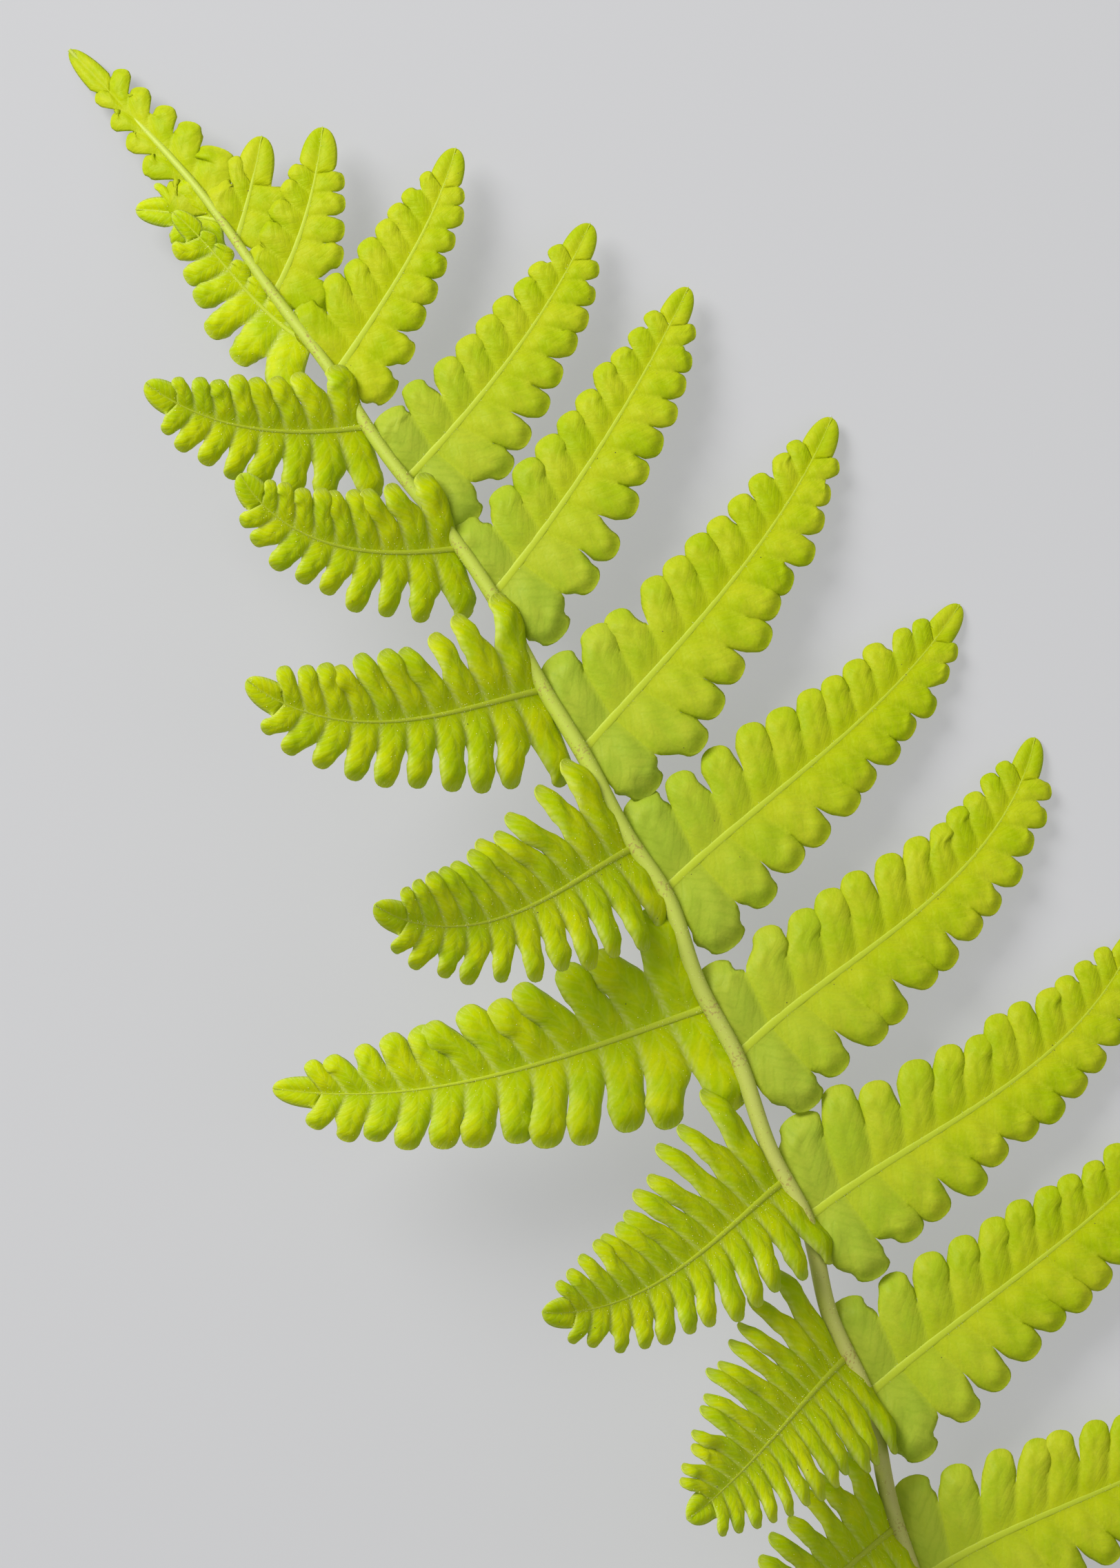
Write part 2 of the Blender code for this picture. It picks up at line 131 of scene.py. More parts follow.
# The pinnae from the tip down: name, side, y, length, headings, lifts, segments, upper and lower.
PINNAE = (
    Pinna("R-d", OPEN, 71.5, 13.0, (56, 60, 64), (0, -6, -14), 2, 0.55, 0.55, end_lobe=2.2, end=1.7,
          lean=-26),
    Pinna("R-e", OPEN, 64.2, 21.0, (44, 58, 68), (0, -6, -14), 5, 0.50, 0.55, end_lobe=2.2, end=1.7),
    Pinna("R-f", OPEN, 53.0, 31.0, (39, 44, 59), (-2, -8, -14), 8, 0.70, 0.60, end_lobe=1.9, end=1.4),
    Pinna("R-g", OPEN, 38.9, 38.0, (30, 37, 50), (-4, -9, -15), 9, 0.71, 0.80, end_lobe=1.9),
    Pinna("R-h", OPEN, 23.1, 44.0, (34, 41, 48), (-5, -10, -16), 10, 0.75, 0.86),
    Pinna("R-i", OPEN, 2.8, 50.5, (31.5, 34, 50.5), (-6, -11, -16), 11, 0.90, 0.90, end_lobe=2.0),
    Pinna("R-j", OPEN, -15.4, 50.0, (27, 23.5, 40), (-7, -12, -18), 11, 0.94, 0.90, touches=True),
    Pinna("R-k", OPEN, -36.2, 53.5, (28, 22, 61), (-6, -11, -16), 12, 0.98, 0.95),
    Pinna("R-l", OPEN, -56.6, 53.5, (21, 17, 51), (-5, -10, -16), 12, 0.98, 0.92),
    Pinna("R-m", OPEN, -78.4, 52.0, (24, 20, 34), (-4, -9, -14), 12, 0.92, 0.94),
    Pinna("R-n", OPEN, -101.0, 50.0, (17, 5, 25), (-3, -8, -12), 12),
    Pinna("R-o", OPEN, -125.0, 48.0, (16, 10, 26), (-2, -6, -9), 12, 0.96, 0.96, touches=True),
    Pinna("R-p", OPEN, -148.0, 44.0, (12, 8, 22), (-1, -4, -6), 11, 0.90, 0.90),
    Pinna("L-d", CURLED, 74.3, 10.5, (30, 26, 20), (-12, -9, -4), 2, 0.56, 0.40, end_lobe=1.8, end=1.7,
          lean=-44),
    Pinna("L-e", CURLED, 57.2, 22.5, (44, 66, 56), (-8, 3, 8), 6, 0.28, 0.66, end_lobe=1.4),
    Pinna("L-f", CURLED, 46.2, 29.5, (6, 23, 56), (35, 30, 20), 8, 0.72, 0.76),
    Pinna("L-g", CURLED, 29.5, 32.0, (8, 28, 80), (40, 30, 20), 9, 0.80, 0.74),
    Pinna("L-h", CURLED, 11.0, 42.0, (4, 10, 58), (45, 35, 20), 10, 1.0, 0.94),
    Pinna("L-i", CURLED, -9.5, 45.0, (-8, -5, 54), (55, 45, 40), 11, 1.08, 0.96),
    Pinna("L-j", CURLED, -29.7, 53.0, (-1, 4, 27), (20, 15, 5), 12, 1.04, 1.04),
    Pinna("L-k", CURLED, -51.5, 45.0, (-14, -14, 27), (55, 45, 40), 12, 1.18, 0.94),
    Pinna("L-l", CURLED, -73.2, 44.0, (-14, -21, -12), (62, 58, 50), 12, 1.24, 1.04),
    Pinna("L-m", CURLED, -94.0, 45.0, (-6, -14, -14), (60, 50, 40), 12),
    Pinna("L-n", CURLED, -116.5, 47.0, (4, 4, 14), (34, 20, 4), 12),
    Pinna("L-o", CURLED, -139.0, 44.0, (8, 8, 20), (-1, -4, -8), 11, 0.90, 0.90, touches=True),
)


def unit(vectors: np.ndarray) -> np.ndarray:
    """Vectors of length one in the same directions."""
    return vectors / np.linalg.norm(vectors, axis=-1, keepdims=True)


def smooth(values: np.ndarray | float) -> np.ndarray | float:
    """Eases 0..1 in and out, clipped outside it."""
    t = np.clip(values, 0.0, 1.0)
    return t * t * (3.0 - 2.0 * t)


def natural_curve(points: Sequence[Sequence[float]], count: int) -> np.ndarray:
    """Reads evenly spaced points from a natural cubic spline.

    Args:
        points: The knots that the spline runs through.
        count: How many points are read.

    Returns:
        The points, one to a row.
    """
    knots = np.asarray(points, float)
    at = np.concatenate([[0.0], np.cumsum(np.linalg.norm(np.diff(knots, axis=0), axis=1))])
    step = np.diff(at)
    last = len(knots) - 1
    matrix = np.eye(last + 1)
    right = np.zeros_like(knots)
    for i in range(1, last):
        matrix[i, i - 1:i + 2] = step[i - 1], 2 * (step[i - 1] + step[i]), step[i]
        right[i] = 6 * ((knots[i + 1] - knots[i]) / step[i] - (knots[i] - knots[i - 1]) / step[i - 1])
    bend = np.linalg.solve(matrix, right)
    where = np.linspace(0.0, at[-1], count)
    k = np.clip(np.searchsorted(at, where) - 1, 0, last - 1)
    before, after, span = (where - at[k])[:, None], (at[k + 1] - where)[:, None], step[k][:, None]
    curved = (bend[k] * after**3 + bend[k + 1] * before**3) / (6 * span)
    return (curved + (knots[k] / span - bend[k] * span / 6) * after
            + (knots[k + 1] / span - bend[k + 1] * span / 6) * before)


def through_three(values: Sequence[float], u: np.ndarray) -> np.ndarray:
    """The parabola through the values at u = 0, 0.5 and 1."""
    first, middle, last = values
    return first * (1 - u) * (1 - 2 * u) + 4 * middle * u * (1 - u) + last * u * (2 * u - 1)


@dataclass
class RachisLine:
    """The middle line of the stem and rachis, in mm."""

    route: tuple[tuple[float, float, float], ...] = RACHIS_ROUTE
    radii: tuple[tuple[float, float], ...] = RACHIS_RADII
    samples: int = 401
    points: np.ndarray = field(init=False)

    def __post_init__(self) -> None:
        """Reads the route as a smooth line."""
        self.points = natural_curve(self.route, self.samples)

    def at(self, y: float) -> np.ndarray:
        """The point of the line at y."""
        return np.array([np.interp(-y, -self.points[:, 1], self.points[:, axis]) for axis in range(3)])

    def radius(self, y: np.ndarray) -> np.ndarray:
        """Half the rachis's width at places along y."""
        places, radii = zip(*self.radii)
        return np.interp(-y, -np.array(places), radii)


@dataclass
class Costa:
    """A blade's rib and the rule that lays its segments out, as in the part's source.

    A half is +1 on the side of the frond's tip and -1 on the stem's side.
    """

    line: np.ndarray
    side: int
    segments: int
    scale: tuple[float, float]
    spread: tuple[float, float]
    twist: float
    end: float
    segment_length: float
    notch_reach: tuple[float, float]
    end_lobe_half: float
    joined_from: float = 0.45
    round_from: float = 0.58
    round_power: float = 2.5
    neck: float = 0.9
    falcate: float = 0.05
    basal_width: float = 1.12
    basal_joined: float = 0.12
    basal_foot: float = 0.4
    basal_spread: tuple[float, float] = (10.0, 24.0)
    basal_fade: float = 1.6
    small_width: float = 0.42
    least_size: float = 0.2
    taper: float = 0.5
    lean_from: float = 0.7
    lean_rate: float = 85.0
    end_lobe_widest: float = 0.2

    def __post_init__(self) -> None:
        """Works out the line's own axes and the segments' places."""
        self.u = np.linspace(0.0, 1.0, len(self.line))
        self.length = float(np.linalg.norm(np.diff(self.line, axis=0), axis=1).sum())
        self.along = unit(np.gradient(self.line, axis=0))
        self.across = unit(np.cross([0.0, 0.0, 1.0], self.along) * self.side)
        self.up = self.side * np.cross(self.along, self.across)
        self.stations = self.segment_stations()

    def read(self, table: np.ndarray, u: np.ndarray | float) -> np.ndarray:
        """Reads a table of vectors along the rib at u."""
        return np.stack([np.interp(u, self.u, table[:, axis]) for axis in range(3)], axis=-1)

    def size(self, u: np.ndarray | float) -> np.ndarray | float:
        """Size of a segment by its place on the rib."""
        return np.maximum(1.0 - np.asarray(u, float), 0.0) ** self.taper

    def segment_stations(self) -> np.ndarray:
        """Works out where the segments meet on the rib.

        Returns:
            Places along the rib, up to the lobe that ends it.
        """
        places = (np.arange(self.segments) + 0.5) / (self.segments + 1)
        widths = self.small_width + (1.0 - self.small_width) * self.size(places)
        widths[0] = self.basal_width
        ends = np.cumsum(np.append(widths, self.end))
        return np.concatenate([[0.0], ends[:-1] / ends[-1]])

    def middle(self, k: int) -> float:
        """The place on the rib from which segment k springs."""
        start, end = self.stations[k], self.stations[k + 1]
        return start + (end - start) * (self.basal_foot if k == 0 else 0.5)

    def reach(self, k: int, half: int) -> float:
        """Length of segment k."""
        scale = self.scale[0 if half > 0 else 1]
        return max(float(self.size(self.middle(k))), self.least_size) * scale * self.segment_length

    def lean(self, k: int, half: int) -> float:
        """Angle between the rib and a segment.

        Args:
            k: The segment's number.
            half: The side of the rib.

        Returns:
            The angle in radians.
        """
        pick = 0 if half > 0 else 1
        angle = self.spread[pick] - self.lean_rate * max(0.0, self.middle(k) - self.lean_from)
        return math.radians(angle + self.basal_spread[pick] * math.exp(-k / self.basal_fade))

    def directions(self, k: int, half: int) -> tuple[np.ndarray, np.ndarray]:
        """A segment's own axes.

        Args:
            k: The segment's number.
            half: The side of the rib.

        Returns:
            The directions out along it, and across it towards the pinna's tip.
        """
        u = self.middle(k)
        along, across, up = (self.read(table, u) for table in (self.along, self.across, self.up))
        lean, twist = self.lean(k, half), math.radians(self.twist)
        out = math.cos(lean) * along + half * math.sin(lean) * across
        wide = math.sin(lean) * along - half * math.cos(lean) * across
        return out, wide * math.cos(twist) + up * math.sin(twist)

    def half_width(self, k: int, half: int) -> float:
        """Half the width of segment k."""
        room = (self.stations[k + 1] - self.stations[k]) * self.length
        return room * (1.0 if k == 0 else math.sin(self.lean(k, half))) / 2

    def midline(self, k: int, half: int, reach: np.ndarray) -> np.ndarray:
        """The middle line of a segment.

        Args:
            k: The segment's number.
            half: The side of the rib.
            reach: Places along it, as shares of its length.

        Returns:
            The line's points there.
        """
        out, wide = self.directions(k, half)
        full = self.reach(k, half)
        span = np.asarray(reach, float)[..., None] * full
        return self.read(self.line, self.middle(k)) + out * span + wide * self.falcate * span**2 / full

    def free_edge(self, k: int, half: int, edge: int, reach: np.ndarray) -> np.ndarray:
        """Segment k's outline past its notch.

        Args:
            k: The segment's number.
            half: The side of the rib.
            edge: -1 for the segment's base side and +1 for its tip side.
            reach: Places along the segment, as shares of its length.

        Returns:
            The outline's points.
        """
        past = np.clip((reach - self.round_from) / (1.0 - self.round_from), 0.0, 1.0)
        fullness = (1.0 - past**self.round_power) ** (1.0 / self.round_power)
        neck = self.neck + (1.0 - self.neck) * np.clip(reach / self.round_from, 0.0, 1.0)
        offset = edge * self.half_width(k, half) * fullness * neck
        return self.midline(k, half, reach) + self.directions(k, half)[1] * np.asarray(offset)[..., None]

    def joined(self, k: int) -> float:
        """How far out two neighbours are joined.

        Args:
            k: The number of the outer one.

        Returns:
            The share of their length up to which segments k - 1 and k are joined.
        """
        base, tip = self.notch_reach
        past = (self.stations[k] - self.joined_from) / (1.0 - self.joined_from)
        return base + (tip - base) * float(smooth(past)) + (self.basal_joined if k == 1 else 0.0)

    def notch(self, k: int, half: int) -> np.ndarray:
        """The bottom of the cut between segments k - 1 and k.

        Args:
            k: The number of the outer one.
            half: The side of the rib.

        Returns:
            The point between their edges.
        """
        reach = np.array(self.joined(k))
        if k == 0:
            return self.free_edge(0, half, -1, reach)
        before = self.free_edge(k - 1, half, 1, reach)
        if k == self.segments:
            return before
        return (before + self.free_edge(k, half, -1, reach)) / 2


@dataclass
class ApexCosta(Costa):
    """The end of the rachis as a rib, whose lobes grow steadily shorter."""

    apex_shrink: float = 0.62
    apex_lean: float = 18.0

    def size(self, u: np.ndarray | float) -> np.ndarray | float:
        """Size of a lobe by its place on the rib."""
        return 1.0 - self.apex_shrink * np.asarray(u, float)

    def lean(self, k: int, half: int) -> float:
        """Angle between the rib and lobe k, in radians."""
        return math.radians(self.spread[0 if half > 0 else 1] - self.apex_lean * self.middle(k))


@dataclass
class Graph:
    """A node tree, with shorthand for adding and linking its nodes."""

    tree: bpy.types.NodeTree

    def add(self, kind: str, inputs: Mapping[int | str, object] | None = None,
            **settings: object) -> bpy.types.Node:
        """Adds one node.

        Args:
            kind: The node's type name.
            inputs: Values or output sockets, by input name or number.
            **settings: The node's own properties.

        Returns:
            The new node.
        """
        node = self.tree.nodes.new(kind)
        for name, value in settings.items():
            setattr(node, name, value)
        for key, value in (inputs or {}).items():
            if isinstance(value, bpy.types.NodeSocket):
                self.tree.links.new(value, node.inputs[key])
            else:
                node.inputs[key].default_value = value
        return node

    def math(self, operation: str, *values: object) -> bpy.types.NodeSocket:
        """The result of a Math node."""
        return self.add("ShaderNodeMath", dict(enumerate(values)), operation=operation).outputs[0]

    def vector(self, operation: str, *values: object) -> bpy.types.NodeSocket:
        """The vector result of a Vector Math node."""
        return self.add("ShaderNodeVectorMath", dict(enumerate(values)), operation=operation).outputs[0]

    def scaled(self, vector: bpy.types.NodeSocket, *factors: object) -> bpy.types.NodeSocket:
        """A vector times one or more numbers."""
        for factor in factors:
            node = self.add("ShaderNodeVectorMath", {0: vector, "Scale": factor}, operation="SCALE")
            vector = node.outputs[0]
        return vector

    def cube(self, size: bpy.types.NodeSocket) -> bpy.types.NodeSocket:
        """A vector with the same number on all its axes."""
        return self.add("ShaderNodeCombineXYZ", {0: size, 1: size, 2: size}).outputs[0]

    def between(self, value: object, low: float, high: float) -> bpy.types.NodeSocket:
        """A smooth 0..1 ramp of the value from low to high."""
        node = self.add("ShaderNodeMapRange", {"Value": value, "From Min": low, "From Max": high},
                        interpolation_type="SMOOTHSTEP")
        return node.outputs[0]

    def mix(self, factor: object, first: object, second: object) -> bpy.types.NodeSocket:
        """The colour result of a Mix node, whose colours are its inputs 6 and 7."""
        return self.add("ShaderNodeMix", {0: factor, 6: first, 7: second}, data_type="RGBA").outputs[2]

    def named(self, name: str) -> bpy.types.NodeSocket:
        """A named attribute of the geometry."""
        return self.add("GeometryNodeInputNamedAttribute", {"Name": name}, data_type="FLOAT").outputs[0]


@dataclass
class Recipe:
    """A Geometry Nodes tree with named inputs, which ends in Realize Instances and Set Material."""

    name: str
    inputs: dict[str, tuple[str, object]]
    graph: Graph = field(init=False)
    source: bpy.types.Node = field(init=False)

    def __post_init__(self) -> None:
        """Makes the tree's interface."""
        tree = bpy.data.node_groups.new(self.name, "GeometryNodeTree")
        self.graph = Graph(tree)
        tree.interface.new_socket("Geometry", in_out="INPUT", socket_type="NodeSocketGeometry")
        tree.interface.new_socket("Geometry", in_out="OUTPUT", socket_type="NodeSocketGeometry")
        for label, (kind, default) in self.inputs.items():
            tree.interface.new_socket(label, in_out="INPUT", socket_type=kind).default_value = default
        tree.interface.new_socket("Material", in_out="INPUT", socket_type="NodeSocketMaterial")
        self.source = tree.nodes.new("NodeGroupInput")

    def __getitem__(self, label: str) -> bpy.types.NodeSocket:
        """One of the tree's inputs."""
        return self.source.outputs[label]

    def close(self, geometry: bpy.types.NodeSocket) -> None:
        """Ends the tree with the geometry realised, smooth and in its material.

        Args:
            geometry: What the tree has made.
        """
        real = self.graph.add("GeometryNodeRealizeInstances", {0: geometry}).outputs[0]
        shaded = self.graph.add("GeometryNodeSetShadeSmooth", {0: real}).outputs[0]
        dressed = self.graph.add("GeometryNodeSetMaterial", {0: shaded, "Material": self["Material"]})
        self.graph.add("NodeGroupOutput", {0: dressed.outputs[0]})

    def grow(self, name: str, seed_mesh: bpy.types.Mesh, values: Mapping[str, object]) -> bpy.types.Object:
        """Runs the tree on a mesh and keeps the result as a plain mesh.

        Args:
            name: The piece's name.
            seed_mesh: The mesh that the tree starts from.
            values: The tree's inputs by name.

        Returns:
            The new piece.
        """
        obj = bpy.data.objects.new(name, seed_mesh)
        bpy.context.scene.collection.objects.link(obj)
        modifier = obj.modifiers.new(self.name, "NODES")
        modifier.node_group = self.graph.tree
        for item in self.graph.tree.interface.items_tree:
            if item.in_out == "INPUT" and item.name in values:
                modifier[item.identifier] = values[item.name]
        return plain(obj)


def plain(obj: bpy.types.Object) -> bpy.types.Object:
    """Turns what an object's modifiers make into its plain mesh.

    Args:
        obj: The object with its modifiers.

    Returns:
        The same object without them.
    """
    bpy.context.view_layer.update()
    graph = bpy.context.evaluated_depsgraph_get()
    mesh = bpy.data.meshes.new_from_object(obj.evaluated_get(graph), preserve_all_data_layers=True,
                                           depsgraph=graph)
    mesh.name = obj.name
    obj.modifiers.clear()
    obj.data = mesh
    return obj


def place(points: np.ndarray) -> np.ndarray:
    """Millimetres in the frond's layout to metres in the frame."""
    return (points - ORIGIN) * MM


@dataclass
class Patch:
    """One grid of the lamina.

    Across and along place its points on their segment, and share places them on the rib. Tone shifts its
    colour, and painted shade greys and darkens it.
    """

    points: np.ndarray
    across: np.ndarray
    along: np.ndarray
    share: np.ndarray
    tone: float
    painted_shade: float


@dataclass(frozen=True)
class Relief:
    """The surface of a full-size segment: heights in mm, places as shares of its length or half width."""

    rise_over: float = 0.35
    end_from: float = 0.7
    end_over: float = 0.3
    end_power: float = 1.5
    edge_power: int = 5
    pillow_power: float = 2.2
    groove: float = 0.1
    groove_width: float = 0.12
    groove_fade: float = 0.2
    rib_height: float = 0.022
    ribs: float = 8.0
    rib_slant: float = 1.2
    roll: float = 0.1
    bow: float = 0.12
    uneven: float = 0.085
    dents: tuple[tuple[float, float, float], ...] = ((1.0, 2.1, 0.7), (0.7, 3.4, -1.1))

    def height(self, style: BladeStyle, r: np.ndarray, t: np.ndarray, free: np.ndarray,
               rng: np.random.Generator) -> np.ndarray:
        """Height of a segment's surface over its flat grid.

        Args:
            style: How the blade's side is shaped.
            r: Places along the segment.
            t: Places across it, from -1 to 1.
            free: How free of its neighbours it is there.
            rng: The blade's own random numbers.

        Returns:
            The heights.
        """
        rise = smooth(r / self.rise_over)
        end = smooth((r - self.end_from) / self.end_over)
        inside = (1.0 - end**self.end_power) * (1.0 - np.abs(t) ** self.edge_power)
        pillow = style.pillow * rise * (1.0 - np.abs(t) ** self.pillow_power) * (1.0 - end**2)
        margin = -style.recurve * free * (1.0 - inside)
        fade = 1.0 - smooth((r - self.end_from) / self.groove_fade)
        midvein = -self.groove * np.exp(-((t / self.groove_width) ** 2)) * rise * fade
        ribs = np.cos(TURN * (self.ribs * r - self.rib_slant * np.abs(t)))
        ribbing = self.rib_height * ribs * rise * inside
        roll = (self.roll + self.roll * rng.normal()) * style.wander * free * t * (1.0 - end)
        bow = self.bow * style.wander * rng.normal() * free * r**2
        phases = rng.uniform(0.0, 1.0, len(self.dents))
        dents = sum(strength * np.sin(TURN * (along * r + across * t + phase))
                    for (strength, along, across), phase in zip(self.dents, phases))
        return pillow + margin + midvein + ribbing + roll + bow + self.uneven * dents * rise * inside


@dataclass(frozen=True)
class EndLobe:
    """The surface and outline of the lobe that ends a rib, as shares of its length and half width."""

    crowding: float = 1.6
    round_power: float = 2.2
    relief: float = 0.6
    rise_over: float = 0.3
    end_from: float = 0.7
    end_over: float = 0.3
    end_power: float = 1.5
    pillow_power: int = 3
    edge_power: int = 4
    lift: float = 0.8


@dataclass
class Blade:
    """One blade: its rib, and the grids of its segments and end lobe."""

    costa: Costa
    style: BladeStyle
    touches: bool
    seed: int
    # Painted shade: how strongly the segments nearest the rachis are greyed and darkened, and how fast that
    # fades from segment to segment.
    painted_shade_base: float = 0.0
    painted_shade_fade: float = 1.8
    joined_rows: int = 5
    free_rows: int = 10
    columns: int = 12
    lobe_rows: int = 12
    crowding: float = 1.8
    settle_over: float = 0.2
    free_over: float = 0.6
    full_half_width: float = 1.9
    full_reach: float = 6.0
    width_wander: float = 0.04
    length_wander: float = 0.035
    sway_wander: float = 0.05
    lobing: tuple[float, ...] = (0.32, 0.16, 0.07)
    lobes: float = 3.6
    lobe_phase: float = 0.2
    lobes_to: float = 0.88
    lobes_fade: float = 0.12
    lobe_power: int = 5
    least_height: float = 0.2
    tip_clearance: float = 0.35
    droops_from: float = 0.3
    relief: Relief = Relief()
    lobe: EndLobe = EndLobe()
    patches: list[Patch] = field(default_factory=list)

    def __post_init__(self) -> None:
        """Lays out the grids, then lowers the blade if its tip touches the surface."""
        rng = np.random.default_rng(self.seed)
        for half in (1, -1):
            for k in range(self.costa.segments):
                self.patches.append(self.segment(k, half, rng))
            self.patches.append(self.end_lobe(half, rng))
        self.drop = self.drop_rate() if self.touches else 0.0
        for patch in self.patches:
            patch.points = self.droop(patch.points, patch.share)
            patch.points[..., 2] = np.maximum(patch.points[..., 2], self.least_height)

    def reaches(self, notch: float) -> np.ndarray:
        """Rows along a segment's edge.

        Args:
            notch: The share of its length up to which it is joined.

        Returns:
            Places along it, even up to the notch and then denser towards the round end.
        """
        joined = np.linspace(0.0, notch, self.joined_rows + 1)
        past = 1.0 - (1.0 - np.linspace(0.0, 1.0, self.free_rows + 1)[1:]) ** self.crowding
        return np.concatenate([joined, notch + (1.0 - notch) * past])

    def edge(self, k: int, half: int, side: int) -> tuple[np.ndarray, np.ndarray, np.ndarray]:
        """Segment k's border: joined to its neighbour up to the notch, and free past it.

        Args:
            k: The segment's number.
            half: The side of the rib.
            side: -1 for the segment's base side and +1 for its tip side.

        Returns:
            The border's points, their shares of the segment's length, and how free they are.
        """
        costa = self.costa
        beside = k if side < 0 else k + 1
        joined = costa.joined(beside)
        r = self.reaches(joined)
        root = costa.read(costa.line, costa.stations[beside])
        notch = costa.notch(beside, half)
        start = costa.free_edge(k, half, side, np.array(joined))
        inner = root + (notch - root) * (r / joined)[:, None]
        settle = 1.0 - smooth((r - joined) / self.settle_over)
        outer = costa.free_edge(k, half, side, r) + settle[:, None] * (notch - start)
        points = np.where((r <= joined)[:, None], inner, outer)
        return points, r, smooth((r - joined) / (self.free_over * (1.0 - joined)))

    def segment(self, k: int, half: int, rng: np.random.Generator) -> Patch:
        """The grid of one segment, pillowed between its furrows and turned down at its free margin.

        Args:
            k: The segment's number.
            half: The side of the rib.
            rng: The blade's own random numbers.

        Returns:
            The grid.
        """
        costa, style = self.costa, self.style
        t = np.linspace(-1.0, 1.0, self.columns + 1)
        (low, r_low, free_low), (high, r_high, free_high) = self.edge(k, half, -1), self.edge(k, half, 1)
        weights = np.stack([(1 - t) / 2, (1 + t) / 2])
        r = np.stack([r_low, r_high], axis=1) @ weights
        free = np.stack([free_low, free_high], axis=1) @ weights
        both = (free_low + free_high) / 2
        centre = (low + high) / 2
        reach = costa.reach(k, half)
        size = min(costa.half_width(k, half) / self.full_half_width, reach / self.full_reach)
        overlap = (style.overlap - 1.0) * min(size, 1.0)
        width = 1.0 + (overlap + self.width_wander * style.wander * rng.normal()) * both
        out, wide = costa.directions(k, half)
        stretch = self.length_wander * style.wander * rng.normal() * reach * both
        sway = self.sway_wander * style.wander * rng.normal() * reach * both
        shift = out * stretch[:, None] + wide * sway[:, None]
        low, high = (centre + (border - centre) * width[:, None] + shift for border in (low, high))
        points = low[:, None] * weights[0][:, None] + high[:, None] * weights[1][:, None]
        points += (self.lobed_edge(k, r, t, free) * min(size, 1.0))[..., None] * wide
        normal = unit(-half * costa.side * np.cross(out, wide))
        points += normal * (self.relief.height(style, r, t, free, rng) * size)[..., None]
        ends = costa.stations[k] * weights[0] + costa.stations[k + 1] * weights[1]
        share = ends * (1 - free) + costa.middle(k) * free
        # Painted shade, strongest on the segment nearest the rachis.
        painted_shade = self.painted_shade_base * math.exp(-k / self.painted_shade_fade)
        return Patch(points, np.broadcast_to(t, share.shape), r, share, float(rng.uniform(-1.0, 1.0)), painted_shade)

    def lobed_edge(self, k: int, r: np.ndarray, t: np.ndarray, free: np.ndarray) -> np.ndarray:
        """How far a segment's margin stands out in blunt lobes, which are deepest near the rachis.

        Args:
            k: The segment's number.
            r: Places along the segment.
            t: Places across it, from -1 to 1.
            free: How free of its neighbours it is there.

        Returns:
            The shift across the segment, in mm.
        """
        fade = 1.0 - smooth((r - self.lobes_to) / self.lobes_fade)
        wave = np.sin(TURN * (self.lobes * r - self.lobe_phase)) * free * fade
        return self.lobing[min(k, len(self.lobing) - 1)] * wave * t * np.abs(t) ** self.lobe_power

    def end_lobe(self, half: int, rng: np.random.Generator) -> Patch:
        """Half of the lobe that ends the rib.

        Args:
            half: The side of the rib.
            rng: The blade's own random numbers.

        Returns:
            The grid.
        """
        costa, style, lobe = self.costa, self.style, self.lobe
        s = 1.0 - (1.0 - np.linspace(0.0, 1.0, self.lobe_rows + 1)) ** lobe.crowding
        t = np.linspace(0.0, 1.0, self.columns // 2 + 1)
        u = costa.stations[-1] + (1.0 - costa.stations[-1]) * s
        widest = costa.end_lobe_widest
        past = np.clip((s - widest) / (1.0 - widest), 0.0, 1.0)
        width = (1.0 - past**lobe.round_power) ** 0.5 * costa.end_lobe_half
        rib = costa.read(costa.line, u)
        edge = rib + costa.read(costa.across, u) * (half * width)[:, None]
        notch = costa.notch(costa.segments, half)
        edge = edge + (notch - edge[0]) * (1.0 - smooth(s / widest))[:, None]
        points = rib[:, None] * (1 - t[:, None]) + edge[:, None] * t[:, None]
        rise = smooth(s / lobe.rise_over)[:, None]
        end = smooth((s[:, None] - lobe.end_from) / lobe.end_over) ** lobe.end_power
        flat = 1 - s[:, None] ** lobe.pillow_power
        height = style.pillow * lobe.relief * np.sin(math.pi * t) * rise * flat
        outer = 1.0 - (1.0 - t**lobe.edge_power) * (1.0 - end)
        height = height - style.recurve * lobe.relief * outer * rise
        points += costa.read(costa.up, u)[:, None] * height[..., None] * lobe.lift
        share = np.broadcast_to(u[:, None], height.shape)
        across, along = np.broadcast_to(t, height.shape), np.broadcast_to(s[:, None], height.shape)
        return Patch(points, across, along, share, float(rng.uniform(-1.0, 1.0)), 0.0)

    def drop_rate(self) -> float:
        """Works out how fast the blade bends down towards its tip.

        Returns:
            The rate at which its lowest point meets the surface.
        """
        heights = [patch.points[..., 2].ravel() for patch in self.patches] + [self.costa.line[:, 2]]
        shares = np.concatenate([patch.share.ravel() for patch in self.patches] + [self.costa.u])
        far = shares > self.droops_from
        return float(np.min((np.concatenate(heights)[far] - self.tip_clearance) / shares[far] ** 2))

    def droop(self, points: np.ndarray, share: np.ndarray) -> np.ndarray:
        """Points of the blade after it bends down."""
        return points - self.drop * (share**2)[..., None] * np.array([0.0, 0.0, 1.0])

    def rib_line(self) -> np.ndarray:
        """The rib after it bends down."""
        return self.droop(self.costa.line, self.costa.u)


